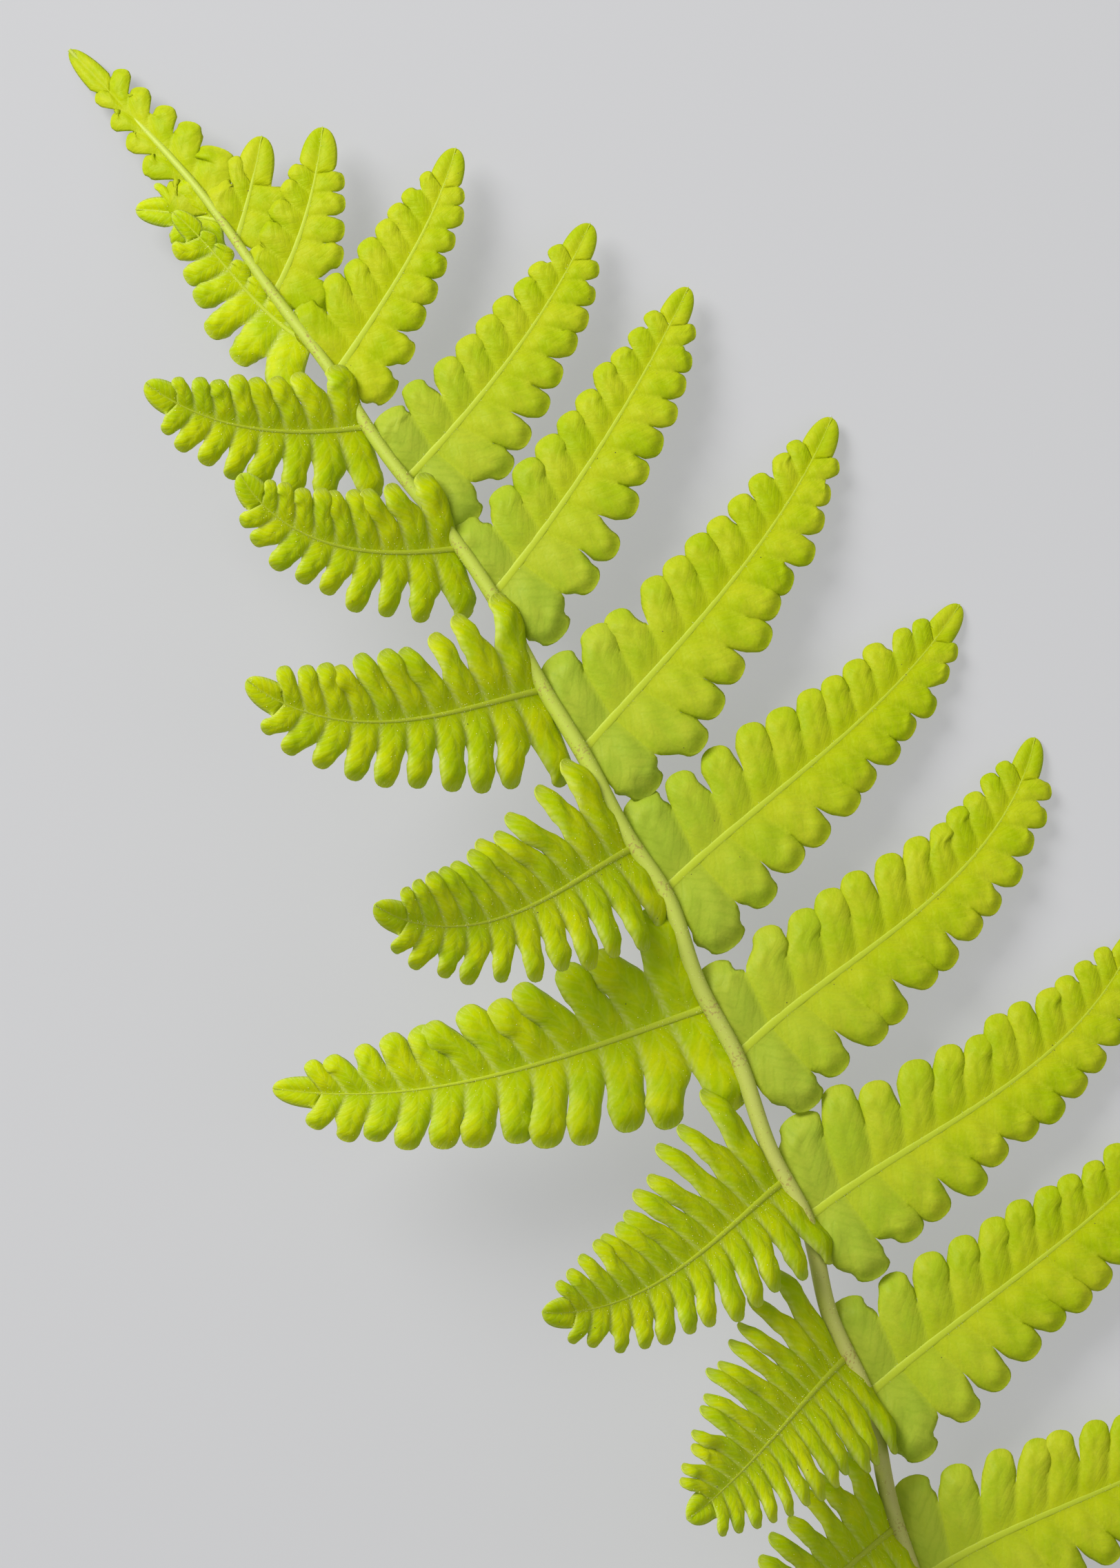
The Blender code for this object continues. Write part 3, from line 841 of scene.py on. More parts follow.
def pinna_costa(pinna: Pinna, rachis: RachisLine, count: int = 41) -> Costa:
    """A pinna's rib.

    Args:
        pinna: The pinna's own numbers.
        rachis: The line that it stands on.
        count: How many points the rib has.

    Returns:
        The rib with its segments' rule.
    """
    u = (np.arange(count - 1) + 0.5) / (count - 1)
    heading = np.radians(through_three(pinna.heading, u))
    lift = np.radians(through_three(pinna.lift, u))
    side = pinna.side.value
    outward, forward = side * np.cos(heading) * np.cos(lift), np.sin(heading) * np.cos(lift)
    steps = np.stack([outward, forward, np.sin(lift)], axis=1) * pinna.length / (count - 1)
    line = rachis.at(pinna.y) + np.concatenate([np.zeros((1, 3)), np.cumsum(steps, axis=0)])
    style = STYLES[pinna.side]
    spread = (style.spread[0] + pinna.lean, style.spread[1])
    return Costa(line, side, pinna.segments, scale=(pinna.upper, pinna.lower), spread=spread,
                 twist=style.twist, end=pinna.end, segment_length=style.length, notch_reach=style.notch,
                 end_lobe_half=pinna.end_lobe, basal_spread=style.basal_spread)


def apex_costa(rachis: RachisLine, from_y: float = 75.0) -> ApexCosta:
    """The end of the rachis as the rib of the frond's lobed tip."""
    line = rachis.points[rachis.points[:, 1] > from_y][::-1]
    return ApexCosta(line, side=1, segments=5, scale=(0.62, 0.80), spread=(50.0, 56.0), twist=0.0, end=1.6,
                     segment_length=8.7, notch_reach=(0.5, 0.6), end_lobe_half=1.5, basal_width=1.0,
                     basal_joined=0.0)


@dataclass
class Lamina:
    """The thin green blades of several pinnae in one closed mesh."""

    name: str
    blades: list[Blade]
    thickness: float = 0.18
    scatter: float = 0.12
    foot_reach: float = 0.25
    probe_row: int = 4
    weld: float = 1e-4
    sheet: bpy.types.Mesh | None = None

    def build(self, material: bpy.types.Material) -> bpy.types.Object:
        """Makes the piece.

        Args:
            material: Its finish.

        Returns:
            The piece as a plain mesh.
        """
        corners: list[np.ndarray] = []
        spots: list[np.ndarray] = []
        uvs: list[np.ndarray] = []
        tones: list[np.ndarray] = []
        start = 0
        for blade in self.blades:
            for patch in blade.patches:
                rows, columns = patch.share.shape
                grid = start + np.arange(rows * columns).reshape(rows, columns)
                quads = np.stack([grid[:-1, :-1], grid[:-1, 1:], grid[1:, 1:], grid[1:, :-1]], axis=-1)
                a, b, c = patch.points[0, 0], patch.points[0, 1], patch.points[self.probe_row, 1]
                facing = np.cross(b - a, c - b) @ blade.costa.read(blade.costa.up, patch.share[0, 0])
                corners.append(quads.reshape(-1, 4) if facing > 0 else quads.reshape(-1, 4)[:, ::-1])
                spots.append(patch.points.reshape(-1, 3))
                uvs.append(np.stack([patch.across.ravel(), patch.along.ravel()], axis=1))
                cover = self.scatter + np.exp(-((patch.along.ravel() / self.foot_reach) ** 2))
                # Each patch's random tone and its painted shade.
                tone, painted_shade = np.full_like(cover, patch.tone), np.full_like(cover, patch.painted_shade)
                tones.append(np.stack([tone, painted_shade, cover], axis=1))
                start += rows * columns
        mesh = self.welded(np.concatenate(spots), np.concatenate(corners), np.concatenate(uvs),
                           np.concatenate(tones))
        self.sheet = mesh
        obj = bpy.data.objects.new(self.name, mesh.copy())
        bpy.context.scene.collection.objects.link(obj)
        obj.data.materials.append(material)
        shell = obj.modifiers.new("thickness", "SOLIDIFY")
        shell.thickness = self.thickness * MM
        shell.offset = -1.0
        return plain(obj)

    def welded(self, spots: np.ndarray, quads: np.ndarray, uvs: np.ndarray,
               tones: np.ndarray) -> bpy.types.Mesh:
        """A smooth mesh whose coinciding points are joined, with its corner marks kept.

        Args:
            spots: The points of all the grids, in mm.
            quads: Their faces, by the numbers of their points.
            uvs: Each point's place on its segment.
            tones: Each point's tone, painted shade and share of beads.

        Returns:
            The mesh.
        """
        rounded = np.round(spots / self.weld)
        _, first, index = np.unique(rounded, axis=0, return_index=True, return_inverse=True)
        index = index.reshape(-1)
        faces, marks = [], []
        for quad in quads:
            joined = index[quad]
            keep = [i for i in range(4) if joined[i] != joined[i - 1]]
            if len(keep) > 2:
                faces.append([int(joined[i]) for i in keep])
                marks.extend(int(quad[i]) for i in keep)
        mesh = bpy.data.meshes.new(self.name)
        mesh.from_pydata(place(spots[first]).tolist(), [], faces)
        marks_at = np.array(marks)
        mesh.uv_layers.new(name="segment").data.foreach_set("uv", uvs[marks_at].ravel())
        for column, label in enumerate(("tone", "painted_shade", "cover")):
            layer = mesh.attributes.new(label, "FLOAT", "CORNER")
            layer.data.foreach_set("value", tones[marks_at, column].copy())
        mesh.shade_smooth()
        return mesh


def polyline_mesh(name: str, lines: Sequence[tuple[np.ndarray, np.ndarray]],
                  axil: np.ndarray | None = None) -> bpy.types.Mesh:
    """Makes a mesh of open lines for a recipe to follow.

    Args:
        name: The mesh's name.
        lines: Each line's points and its radius at them, in mm.
        axil: How close each point is to where a side branch springs, from 0 to 1.

    Returns:
        The mesh, with the attributes radius and axil.
    """
    points = np.concatenate([line for line, _ in lines])
    edges, start = [], 0
    for line, _ in lines:
        edges.extend((start + i, start + i + 1) for i in range(len(line) - 1))
        start += len(line)
    mesh = bpy.data.meshes.new(name)
    mesh.from_pydata(place(points).tolist(), edges, [])
    radius = mesh.attributes.new("radius", "FLOAT", "POINT")
    radius.data.foreach_set("value", np.concatenate([radii for _, radii in lines]) * MM)
    closeness = mesh.attributes.new("axil", "FLOAT", "POINT")
    closeness.data.foreach_set("value", np.zeros(len(points)) if axil is None else axil)
    return mesh


def covered(mesh: bpy.types.Mesh) -> bpy.types.Mesh:
    """Marks a mesh as one whose beads may stand anywhere.

    Args:
        mesh: The mesh, which stays as it is.

    Returns:
        A copy with the mark.
    """
    copy = mesh.copy()
    cover = copy.attributes.new("cover", "FLOAT", "POINT")
    cover.data.foreach_set("value", np.ones(len(copy.vertices)))
    return copy


@dataclass
class StemRecipe:
    """Grooved stems and ribs that follow lines."""

    groove_full_at: float = 0.5

    def build(self) -> Recipe:
        """Makes the tree.

        Returns:
            The recipe, whose section has a groove along its top.
        """
        recipe = Recipe("grooved stem", {
            "Sides": ("NodeSocketInt", 20), "Groove Depth": ("NodeSocketFloat", 0.3),
            "Groove Width": ("NodeSocketFloat", 0.3), "Flatness": ("NodeSocketFloat", 1.0),
        })
        g = recipe.graph
        line = g.add("GeometryNodeMeshToCurve", {0: recipe["Geometry"]}).outputs[0]
        line = g.add("GeometryNodeSetCurveNormal", {0: line}, mode="Z_UP").outputs[0]
        circle = g.add("GeometryNodeCurvePrimitiveCircle", {"Resolution": recipe["Sides"], "Radius": 1.0})
        parts = g.add("ShaderNodeSeparateXYZ", {0: g.add("GeometryNodeInputPosition").outputs[0]})
        off = g.math("DIVIDE", parts.outputs[0], recipe["Groove Width"])
        dip = g.math("EXPONENT", g.math("MULTIPLY", g.math("MULTIPLY", off, off), -1.0))
        dip = g.math("MULTIPLY", g.math("MULTIPLY", dip, recipe["Groove Depth"]),
                     g.between(parts.outputs[1], 0.0, self.groove_full_at))
        height = g.math("MULTIPLY", g.math("SUBTRACT", parts.outputs[1], dip), recipe["Flatness"])
        moved = g.add("ShaderNodeCombineXYZ", {0: parts.outputs[0], 1: height}).outputs[0]
        section = g.add("GeometryNodeSetPosition", {0: circle.outputs[0], "Position": moved}).outputs[0]
        tube = g.add("GeometryNodeCurveToMesh",
                     {0: line, 1: section, "Scale": g.named("radius"), "Fill Caps": True}).outputs[0]
        recipe.close(tube)
        return recipe


@dataclass
class HairRecipe:
    """Short hairs that stand off lines, as thin cones."""

    lowest: tuple[float, float, float] = (-1.0, -1.0, -0.4)
    highest: tuple[float, float, float] = (1.0, 1.0, 1.0)
    disorder: float = 0.45
    shortest: float = 0.45
    sides: int = 3

    def build(self) -> Recipe:
        """Makes the tree.

        Returns:
            The recipe, whose hairs point away from the line on its upper sides.
        """
        recipe = Recipe("hair coat", {
            "Spacing": ("NodeSocketFloat", 0.0005), "Length": ("NodeSocketFloat", 0.0004),
            "Thickness": ("NodeSocketFloat", 0.00002), "Lift": ("NodeSocketFloat", 0.3),
            "Seed": ("NodeSocketInt", 1),
        })
        g = recipe.graph
        line = g.add("GeometryNodeMeshToCurve", {0: recipe["Geometry"]}).outputs[0]
        points = g.add("GeometryNodeCurveToPoints", {0: line, "Length": recipe["Spacing"]}, mode="LENGTH")
        loose = g.add("FunctionNodeRandomValue", {0: self.lowest, 1: self.highest, "Seed": recipe["Seed"]},
                      data_type="FLOAT_VECTOR").outputs[0]
        away = g.vector("SUBTRACT", loose, g.vector("PROJECT", loose, points.outputs["Tangent"]))
        away = g.vector("NORMALIZE", away)
        bristle = g.vector("NORMALIZE", g.vector("ADD", away, g.scaled(loose, self.disorder)))
        turned = g.add("FunctionNodeAlignRotationToVector", {"Vector": bristle}, axis="Z").outputs[0]
        lift = g.scaled(away, g.named("radius"), recipe["Lift"])
        moved = g.add("GeometryNodeSetPosition", {0: points.outputs[0], "Offset": lift}).outputs[0]
        cone = g.add("GeometryNodeMeshCone", {
            "Vertices": self.sides, "Radius Bottom": recipe["Thickness"],
            "Depth": recipe["Length"]}).outputs[0]
        size = g.add("FunctionNodeRandomValue", {2: self.shortest, 3: 1.0, "Seed": recipe["Seed"]}).outputs[1]
        hairs = g.add("GeometryNodeInstanceOnPoints", {
            0: moved, "Instance": cone, "Rotation": turned, "Scale": g.cube(size)}).outputs[0]
        recipe.close(hairs)
        return recipe


@dataclass
class BeadRecipe:
    """Small beads on a surface: glands, or dark specks."""

    smallest: float = 0.5

    def build(self) -> Recipe:
        """Makes the tree.

        Returns:
            The recipe, which scatters beads where the mesh's cover attribute is high.
        """
        recipe = Recipe("surface beads", {
            "Density": ("NodeSocketFloat", 100000.0), "Radius": ("NodeSocketFloat", 0.00006),
            "Seed": ("NodeSocketInt", 1),
        })
        g = recipe.graph
        density = g.math("MULTIPLY", recipe["Density"], g.named("cover"))
        spread = g.add("GeometryNodeDistributePointsOnFaces", {
            0: recipe["Geometry"], "Density": density, "Seed": recipe["Seed"]})
        bead = g.add("GeometryNodeMeshIcoSphere", {"Radius": recipe["Radius"], "Subdivisions": 1}).outputs[0]
        size = g.add("FunctionNodeRandomValue", {2: self.smallest, 3: 1.0, "Seed": recipe["Seed"]}).outputs[1]
        beads = g.add("GeometryNodeInstanceOnPoints", {
            0: spread.outputs[0], "Instance": bead, "Rotation": spread.outputs["Rotation"],
            "Scale": g.cube(size)}).outputs[0]
        recipe.close(beads)
        return recipe


@dataclass
class ShaderGroups:
    """Shader effects that more than one finish uses."""

    patch_scale: float = 250.0
    patch_band: tuple[float, float] = (0.35, 0.65)
    patch_detail: float = 2.0
    grain_ratio: float = 9.0
    grain_detail: float = 3.0
    vein_pairs: float = 6.0
    vein_slant: float = 1.9
    vein_width: float = 0.24
    midvein_band: tuple[float, float] = (0.02, 0.11)
    stray: float = 0.6
    stray_scale: float = 700.0
    stray_detail: float = 1.0
    fork: float = 0.2
    fork_band: tuple[float, float] = (0.35, 0.9)
    margin_band: tuple[float, float] = (0.72, 1.0)
    tip_band: tuple[float, float] = (0.86, 1.0)
    margin_between_veins: float = 0.4
    margin_on_veins: float = 0.6
    foot_band: tuple[float, float] = (0.05, 0.42)

    def start(self, name: str, entry: str, default: float,
              results: Sequence[str]) -> tuple[Graph, bpy.types.NodeSocket]:
        """Makes a group with one input.

        Args:
            name: The group's name.
            entry: The input's name.
            default: The input's value where none is given.
            results: The outputs' names.

        Returns:
            The group and its input.
        """
        tree = bpy.data.node_groups.new(name, "ShaderNodeTree")
        socket = tree.interface.new_socket(entry, in_out="INPUT", socket_type="NodeSocketFloat")
        socket.default_value = default
        for label in results:
            tree.interface.new_socket(label, in_out="OUTPUT", socket_type="NodeSocketFloat")
        return Graph(tree), tree.nodes.new("NodeGroupInput").outputs[0]

    def mottle(self) -> bpy.types.NodeTree:
        """Soft patches of two sizes in Object coordinates.

        Returns:
            The group, with the input Scale and the outputs Patches and Grain.
        """
        g, scale = self.start("mottle", "Scale", self.patch_scale, ("Patches", "Grain"))
        spot = g.add("ShaderNodeTexCoord").outputs["Object"]
        patches = g.add("ShaderNodeTexNoise", {"Vector": spot, "Scale": scale, "Detail": self.patch_detail})
        fine = g.math("MULTIPLY", scale, self.grain_ratio)
        grain = g.add("ShaderNodeTexNoise", {"Vector": spot, "Scale": fine, "Detail": self.grain_detail})
        g.add("NodeGroupOutput", {0: g.between(patches.outputs[0], *self.patch_band), 1: grain.outputs[0]})
        return g.tree

    def veins(self) -> bpy.types.NodeTree:
        """The pinnate veins of a segment, read from its own map.

        Returns:
            The group, with the input Pairs and the outputs Midvein, Side Veins, Margin and Foot.
        """
        g, pairs = self.start("segment veins", "Pairs", self.vein_pairs,
                              ("Midvein", "Side Veins", "Margin", "Foot"))
        spot = g.add("ShaderNodeSeparateXYZ", {0: g.add("ShaderNodeUVMap", uv_map="segment").outputs[0]})
        across = g.math("ABSOLUTE", spot.outputs[0])
        along = spot.outputs[1]
        midvein = g.math("SUBTRACT", 1.0, g.between(across, *self.midvein_band))
        place_of = g.add("ShaderNodeTexCoord").outputs["Object"]
        stray = g.add("ShaderNodeTexNoise", {
            "Vector": place_of, "Scale": self.stray_scale, "Detail": self.stray_detail}).outputs[0]
        phase = g.math("MULTIPLY_ADD", along, pairs, g.math("MULTIPLY", stray, self.stray))
        phase = g.math("SUBTRACT", phase, g.math("MULTIPLY", across, self.vein_slant))
        fork = g.math("MULTIPLY", g.between(across, *self.fork_band), self.fork)
        lines = []
        for shift in (fork, g.math("MULTIPLY", fork, -1.0)):
            wave = g.math("FRACT", g.math("ADD", phase, shift))
            beside = g.math("ABSOLUTE", g.math("SUBTRACT", wave, 0.5))
            lines.append(g.math("SUBTRACT", 1.0, g.between(beside, 0.0, self.vein_width)))
        side = g.math("MAXIMUM", *lines)
        margin = g.math("MAXIMUM", g.between(across, *self.margin_band), g.between(along, *self.tip_band))
        toothed = g.math("MULTIPLY_ADD", side, self.margin_on_veins, self.margin_between_veins)
        margin = g.math("MULTIPLY", margin, toothed)
        foot = g.math("SUBTRACT", 1.0, g.between(along, *self.foot_band))
        g.add("NodeGroupOutput", {0: midvein, 1: side, 2: margin, 3: foot})
        return g.tree


@dataclass
class Coat:
    """A material in the making: its node tree and its Principled BSDF."""

    name: str
    roughness: float
    material: bpy.types.Material = field(init=False)
    graph: Graph = field(init=False)
    surface: bpy.types.Node = field(init=False)

    def __post_init__(self) -> None:
        """Makes the material with its nodes."""
        self.material = bpy.data.materials.new(self.name)
        self.material.use_nodes = True
        self.graph = Graph(self.material.node_tree)
        self.surface = self.graph.tree.nodes["Principled BSDF"]
        self.surface.inputs["Roughness"].default_value = self.roughness

    def paint(self, colour: bpy.types.NodeSocket) -> None:
        """Gives the surface its colour."""
        self.graph.tree.links.new(colour, self.surface.inputs["Base Color"])

    def rough(self, height: bpy.types.NodeSocket, strength: float, distance: float) -> bpy.types.NodeSocket:
        """Gives the surface a fine relief.

        Args:
            height: Where the surface stands up.
            strength: How strong the relief is.
            distance: How high it is in metres.

        Returns:
            The normal of the relief.
        """
        bump = self.graph.add("ShaderNodeBump", {
            "Strength": strength, "Distance": distance, "Height": height})
        self.graph.tree.links.new(bump.outputs[0], self.surface.inputs["Normal"])
        return bump.outputs[0]

    def shine_through(self, share: float, **inputs: bpy.types.NodeSocket) -> None:
        """Lets a share of the light through.

        Args:
            share: How much of it.
            **inputs: What feeds the Translucent BSDF.
        """
        through = self.graph.add("ShaderNodeBsdfTranslucent", inputs).outputs[0]
        both = self.graph.add("ShaderNodeMixShader", {0: share, 1: self.surface.outputs[0], 2: through})
        output = self.graph.tree.nodes["Material Output"]
        self.graph.tree.links.new(both.outputs[0], output.inputs["Surface"])


@dataclass(frozen=True)
class LeafFinish:
    """Thin, fresh leaf that lets light through."""

    name: str
    deep: tuple[float, float, float]
    bright: tuple[float, float, float]
    vein: tuple[float, float, float]
    margin: tuple[float, float, float]
    # The margin's colour: partly the leaf's own paler edge, partly a painted highlight along the rim where it
    # curls up.
    foot: tuple[float, float, float]
    glow: tuple[float, float, float]
    margin_and_highlight_share: float
    vein_share: float
    foot_share: float
    glow_share: float = 0.42
    glow_mix: float = 0.5
    grain_share: float = 1.1
    grain_offset: float = -0.42
    patch_share: float = 0.6
    tone_share: float = 0.16
    # Painted shade: the greyer, darker green of the segments nearest the rachis and of their side veins, and
    # how much of each is mixed in.
    painted_shade_tone: tuple[float, float, float] = (0.41, 0.53, 0.09)
    painted_shade_vein: tuple[float, float, float] = (0.27, 0.41, 0.02)
    painted_shade_share: float = 0.5
    painted_shade_vein_share: float = 0.12
    roughness: float = 0.45
    specular: float = 0.12
    vein_depth: float = -0.3
    grain_height: float = 1.2
    bump: float = 0.5
    bump_distance: float = 0.00008

    def material(self, mottle: bpy.types.NodeTree, veins: bpy.types.NodeTree) -> bpy.types.Material:
        """Makes the finish.

        Args:
            mottle: The group of soft patches.
            veins: The group of pinnate veins.

        Returns:
            The material.
        """
        coat = Coat(self.name, self.roughness)
        coat.surface.inputs["Specular IOR Level"].default_value = self.specular
        g = coat.graph
        patches = g.add("ShaderNodeGroup", node_tree=mottle)
        net = g.add("ShaderNodeGroup", node_tree=veins)
        tone = g.add("ShaderNodeAttribute", attribute_name="tone").outputs["Fac"]
        # How much painted shade each corner carries.
        painted_shade = g.add("ShaderNodeAttribute", attribute_name="painted_shade").outputs["Fac"]
        spread = g.math("MULTIPLY_ADD", patches.outputs["Grain"], self.grain_share, self.grain_offset)
        blend = g.math("ADD", g.math("MULTIPLY_ADD", patches.outputs["Patches"], self.patch_share, spread),
                       g.math("MULTIPLY", tone, self.tone_share))
        blend = g.math("MINIMUM", g.math("MAXIMUM", blend, 0.0), 1.0)
        colour = g.mix(blend, (*self.deep, 1.0), (*self.bright, 1.0))
        colour = g.mix(g.math("MULTIPLY", net.outputs["Foot"], self.foot_share), colour, (*self.foot, 1.0))
        # Painted shade greys and darkens the segments nearest the rachis and their side veins.
        colour = g.mix(g.math("MULTIPLY", painted_shade, self.painted_shade_share), colour, (*self.painted_shade_tone, 1.0))
        side_share = g.math("MULTIPLY_ADD", painted_shade, self.painted_shade_vein_share, self.vein_share)
        side_colour = g.mix(painted_shade, (*self.vein, 1.0), (*self.painted_shade_vein, 1.0))
        # Veins, and a paler margin that is partly a painted highlight along the rim.
        for mask, share, tint in (("Side Veins", side_share, side_colour),
                                  ("Midvein", self.vein_share, (*self.vein, 1.0)),
                                  ("Margin", self.margin_and_highlight_share, (*self.margin, 1.0))):
            colour = g.mix(g.math("MULTIPLY", net.outputs[mask], share), colour, tint)
        coat.paint(colour)
        height = g.math("ADD", g.math("MULTIPLY", net.outputs["Side Veins"], self.vein_depth),
                        g.math("MULTIPLY", patches.outputs["Grain"], self.grain_height))
        normal = coat.rough(height, self.bump, self.bump_distance)
        glow = g.mix(self.glow_mix, colour, (*self.glow, 1.0))
        coat.shine_through(self.glow_share, Color=glow, Normal=normal)
        return coat.material


@dataclass(frozen=True)
class StemFinish:
    """Pale stems, which may grow browner towards the cut end, with flecks that gather at the axils."""

    name: str
    young: tuple[float, float, float]
    old: tuple[float, float, float]
    turn_from: float
    turn_to: float
    fleck: tuple[float, float, float]
    fleck_band: tuple[float, float] = (0.64, 0.72)
    fleck_share: float = 0.7
    axil_share: float = 0.13
    patch_scale: float = 320.0
    patch_share: float = 0.25
    glow_share: float = 0.15
    roughness: float = 0.55
    bump: float = 0.3
    bump_distance: float = 0.00005

    def material(self, mottle: bpy.types.NodeTree) -> bpy.types.Material:
        """Makes the finish.

        Args:
            mottle: The group of soft patches.

        Returns:
            The material.
        """
        coat = Coat(self.name, self.roughness)
        g = coat.graph
        spot = g.add("ShaderNodeSeparateXYZ", {0: g.add("ShaderNodeTexCoord").outputs["Object"]})
        patches = g.add("ShaderNodeGroup", {"Scale": self.patch_scale}, node_tree=mottle)
        towards_stem = g.math("MULTIPLY", spot.outputs[1], -1.0)
        age = g.between(towards_stem, -self.turn_from, -self.turn_to)
        colour = g.mix(age, (*self.young, 1.0), (*self.old, 1.0))
        axil = g.add("ShaderNodeAttribute", attribute_name="axil").outputs["Fac"]
        edge = g.math("ADD", patches.outputs["Grain"], g.math("MULTIPLY", axil, self.axil_share))
        flecks = g.math("MULTIPLY", g.between(edge, *self.fleck_band), self.fleck_share)
        colour = g.mix(flecks, colour, (*self.fleck, 1.0))
        pale = g.math("MULTIPLY", patches.outputs["Patches"], self.patch_share)
        colour = g.mix(pale, colour, (*self.young, 1.0))
        coat.paint(colour)
        coat.rough(patches.outputs["Grain"], self.bump, self.bump_distance)
        coat.shine_through(self.glow_share, Color=colour)
        return coat.material


@dataclass(frozen=True)
class PlainFinish:
    """Two close colours in soft patches, for things too small to show a pattern of their own."""

    name: str
    one: tuple[float, float, float]
    other: tuple[float, float, float]
    roughness: float
    patch_scale: float = 900.0

    def material(self, mottle: bpy.types.NodeTree) -> bpy.types.Material:
        """Makes the finish.

        Args:
            mottle: The group of soft patches.

        Returns:
            The material.
        """
        coat = Coat(self.name, self.roughness)
        patches = coat.graph.add("ShaderNodeGroup", {"Scale": self.patch_scale}, node_tree=mottle)
        coat.paint(coat.graph.mix(patches.outputs["Patches"], (*self.one, 1.0), (*self.other, 1.0)))
        return coat.material


OPEN_LEAF = LeafFinish(
    "open leaf", deep=(0.46, 0.585, 0.0), bright=(0.63, 0.665, 0.02), vein=(0.60, 0.70, 0.08),
    margin=(0.64, 0.72, 0.03), foot=(0.60, 0.65, 0.0), glow=(0.68, 0.76, 0.0), margin_and_highlight_share=0.35,
    vein_share=0.06, foot_share=0.5)
# The curled leaf's very pale margin is partly a painted highlight on its curled-up rims.
CURLED_LEAF = LeafFinish(
    "curled leaf", deep=(0.48, 0.63, 0.0), bright=(0.69, 0.74, 0.0), vein=(0.66, 0.74, 0.12),
    margin=(0.74, 0.80, 0.24), foot=(0.48, 0.60, 0.0), glow=(0.66, 0.75, 0.0), margin_and_highlight_share=0.6,
    vein_share=0.14, foot_share=0.35)
RACHIS_FINISH = StemFinish(
    "rachis", young=(0.50, 0.59, 0.06), old=(0.56, 0.54, 0.15), turn_from=0.09, turn_to=-0.03,
    fleck=(0.38, 0.24, 0.07))
OPEN_COSTA = StemFinish(
    "open costa", young=(0.47, 0.56, 0.01), old=(0.45, 0.53, 0.01), turn_from=0.02, turn_to=-0.08,
    fleck=(0.42, 0.52, 0.01))
CURLED_COSTA = StemFinish(
    "curled costa", young=(0.49, 0.58, 0.015), old=(0.46, 0.55, 0.015), turn_from=0.02, turn_to=-0.08,
    fleck=(0.36, 0.48, 0.01))
HAIR_FINISH = PlainFinish("hair", (0.85, 0.86, 0.70), (0.70, 0.74, 0.40), 0.35)
GLAND_FINISH = PlainFinish("gland", (0.85, 0.84, 0.40), (0.70, 0.66, 0.10), 0.2)
SPECK_FINISH = PlainFinish("speck", (0.06, 0.05, 0.015), (0.16, 0.09, 0.03), 0.6)


@dataclass(frozen=True)
class Section:
    """The section of a grooved stem: groove and flatness in radii."""

    sides: int
    groove_depth: float
    groove_width: float
    flatness: float

    def inputs(self, material: bpy.types.Material) -> dict[str, object]:
        """The recipe's inputs."""
        return {"Sides": self.sides, "Groove Depth": self.groove_depth, "Groove Width": self.groove_width,
                "Flatness": self.flatness, "Material": material}


@dataclass(frozen=True)
class Hairs:
    """A coat of hairs: lengths in metres, and lift in radii of the stem."""

    spacing: float
    length: float
    thickness: float
    lift: float
    seed: int

    def inputs(self, material: bpy.types.Material) -> dict[str, object]:
        """The recipe's inputs."""
        return {"Spacing": self.spacing, "Length": self.length, "Thickness": self.thickness,
                "Lift": self.lift, "Seed": self.seed, "Material": material}


@dataclass(frozen=True)
class Beads:
    """A scatter of beads: how many on a square metre, and their radius in metres."""

    density: float
    radius: float
    seed: int

    def inputs(self, material: bpy.types.Material) -> dict[str, object]:
        """The recipe's inputs."""
        return {"Density": self.density, "Radius": self.radius, "Seed": self.seed, "Material": material}


RACHIS_SECTION = Section(sides=24, groove_depth=0.4, groove_width=0.34, flatness=1.0)
COSTA_SECTIONS = {
    Side.OPEN: Section(sides=12, groove_depth=0.4, groove_width=0.25, flatness=0.22),
    Side.CURLED: Section(sides=12, groove_depth=0.4, groove_width=0.25, flatness=0.45),
}
RACHIS_HAIRS = Hairs(spacing=0.0004, length=0.00035, thickness=0.000015, lift=0.95, seed=5)
COSTA_HAIRS = Hairs(spacing=0.0004, length=0.0004, thickness=0.000016, lift=0.8, seed=7)
LEAF_GLANDS = Beads(density=1.0e6, radius=0.00006, seed=3)
RACHIS_GLANDS = Beads(density=1.1e6, radius=0.00005, seed=13)
COSTA_GLANDS = Beads(density=2.0e6, radius=0.00005, seed=17)
SPECKS = Beads(density=3.0e4, radius=0.00008, seed=11)


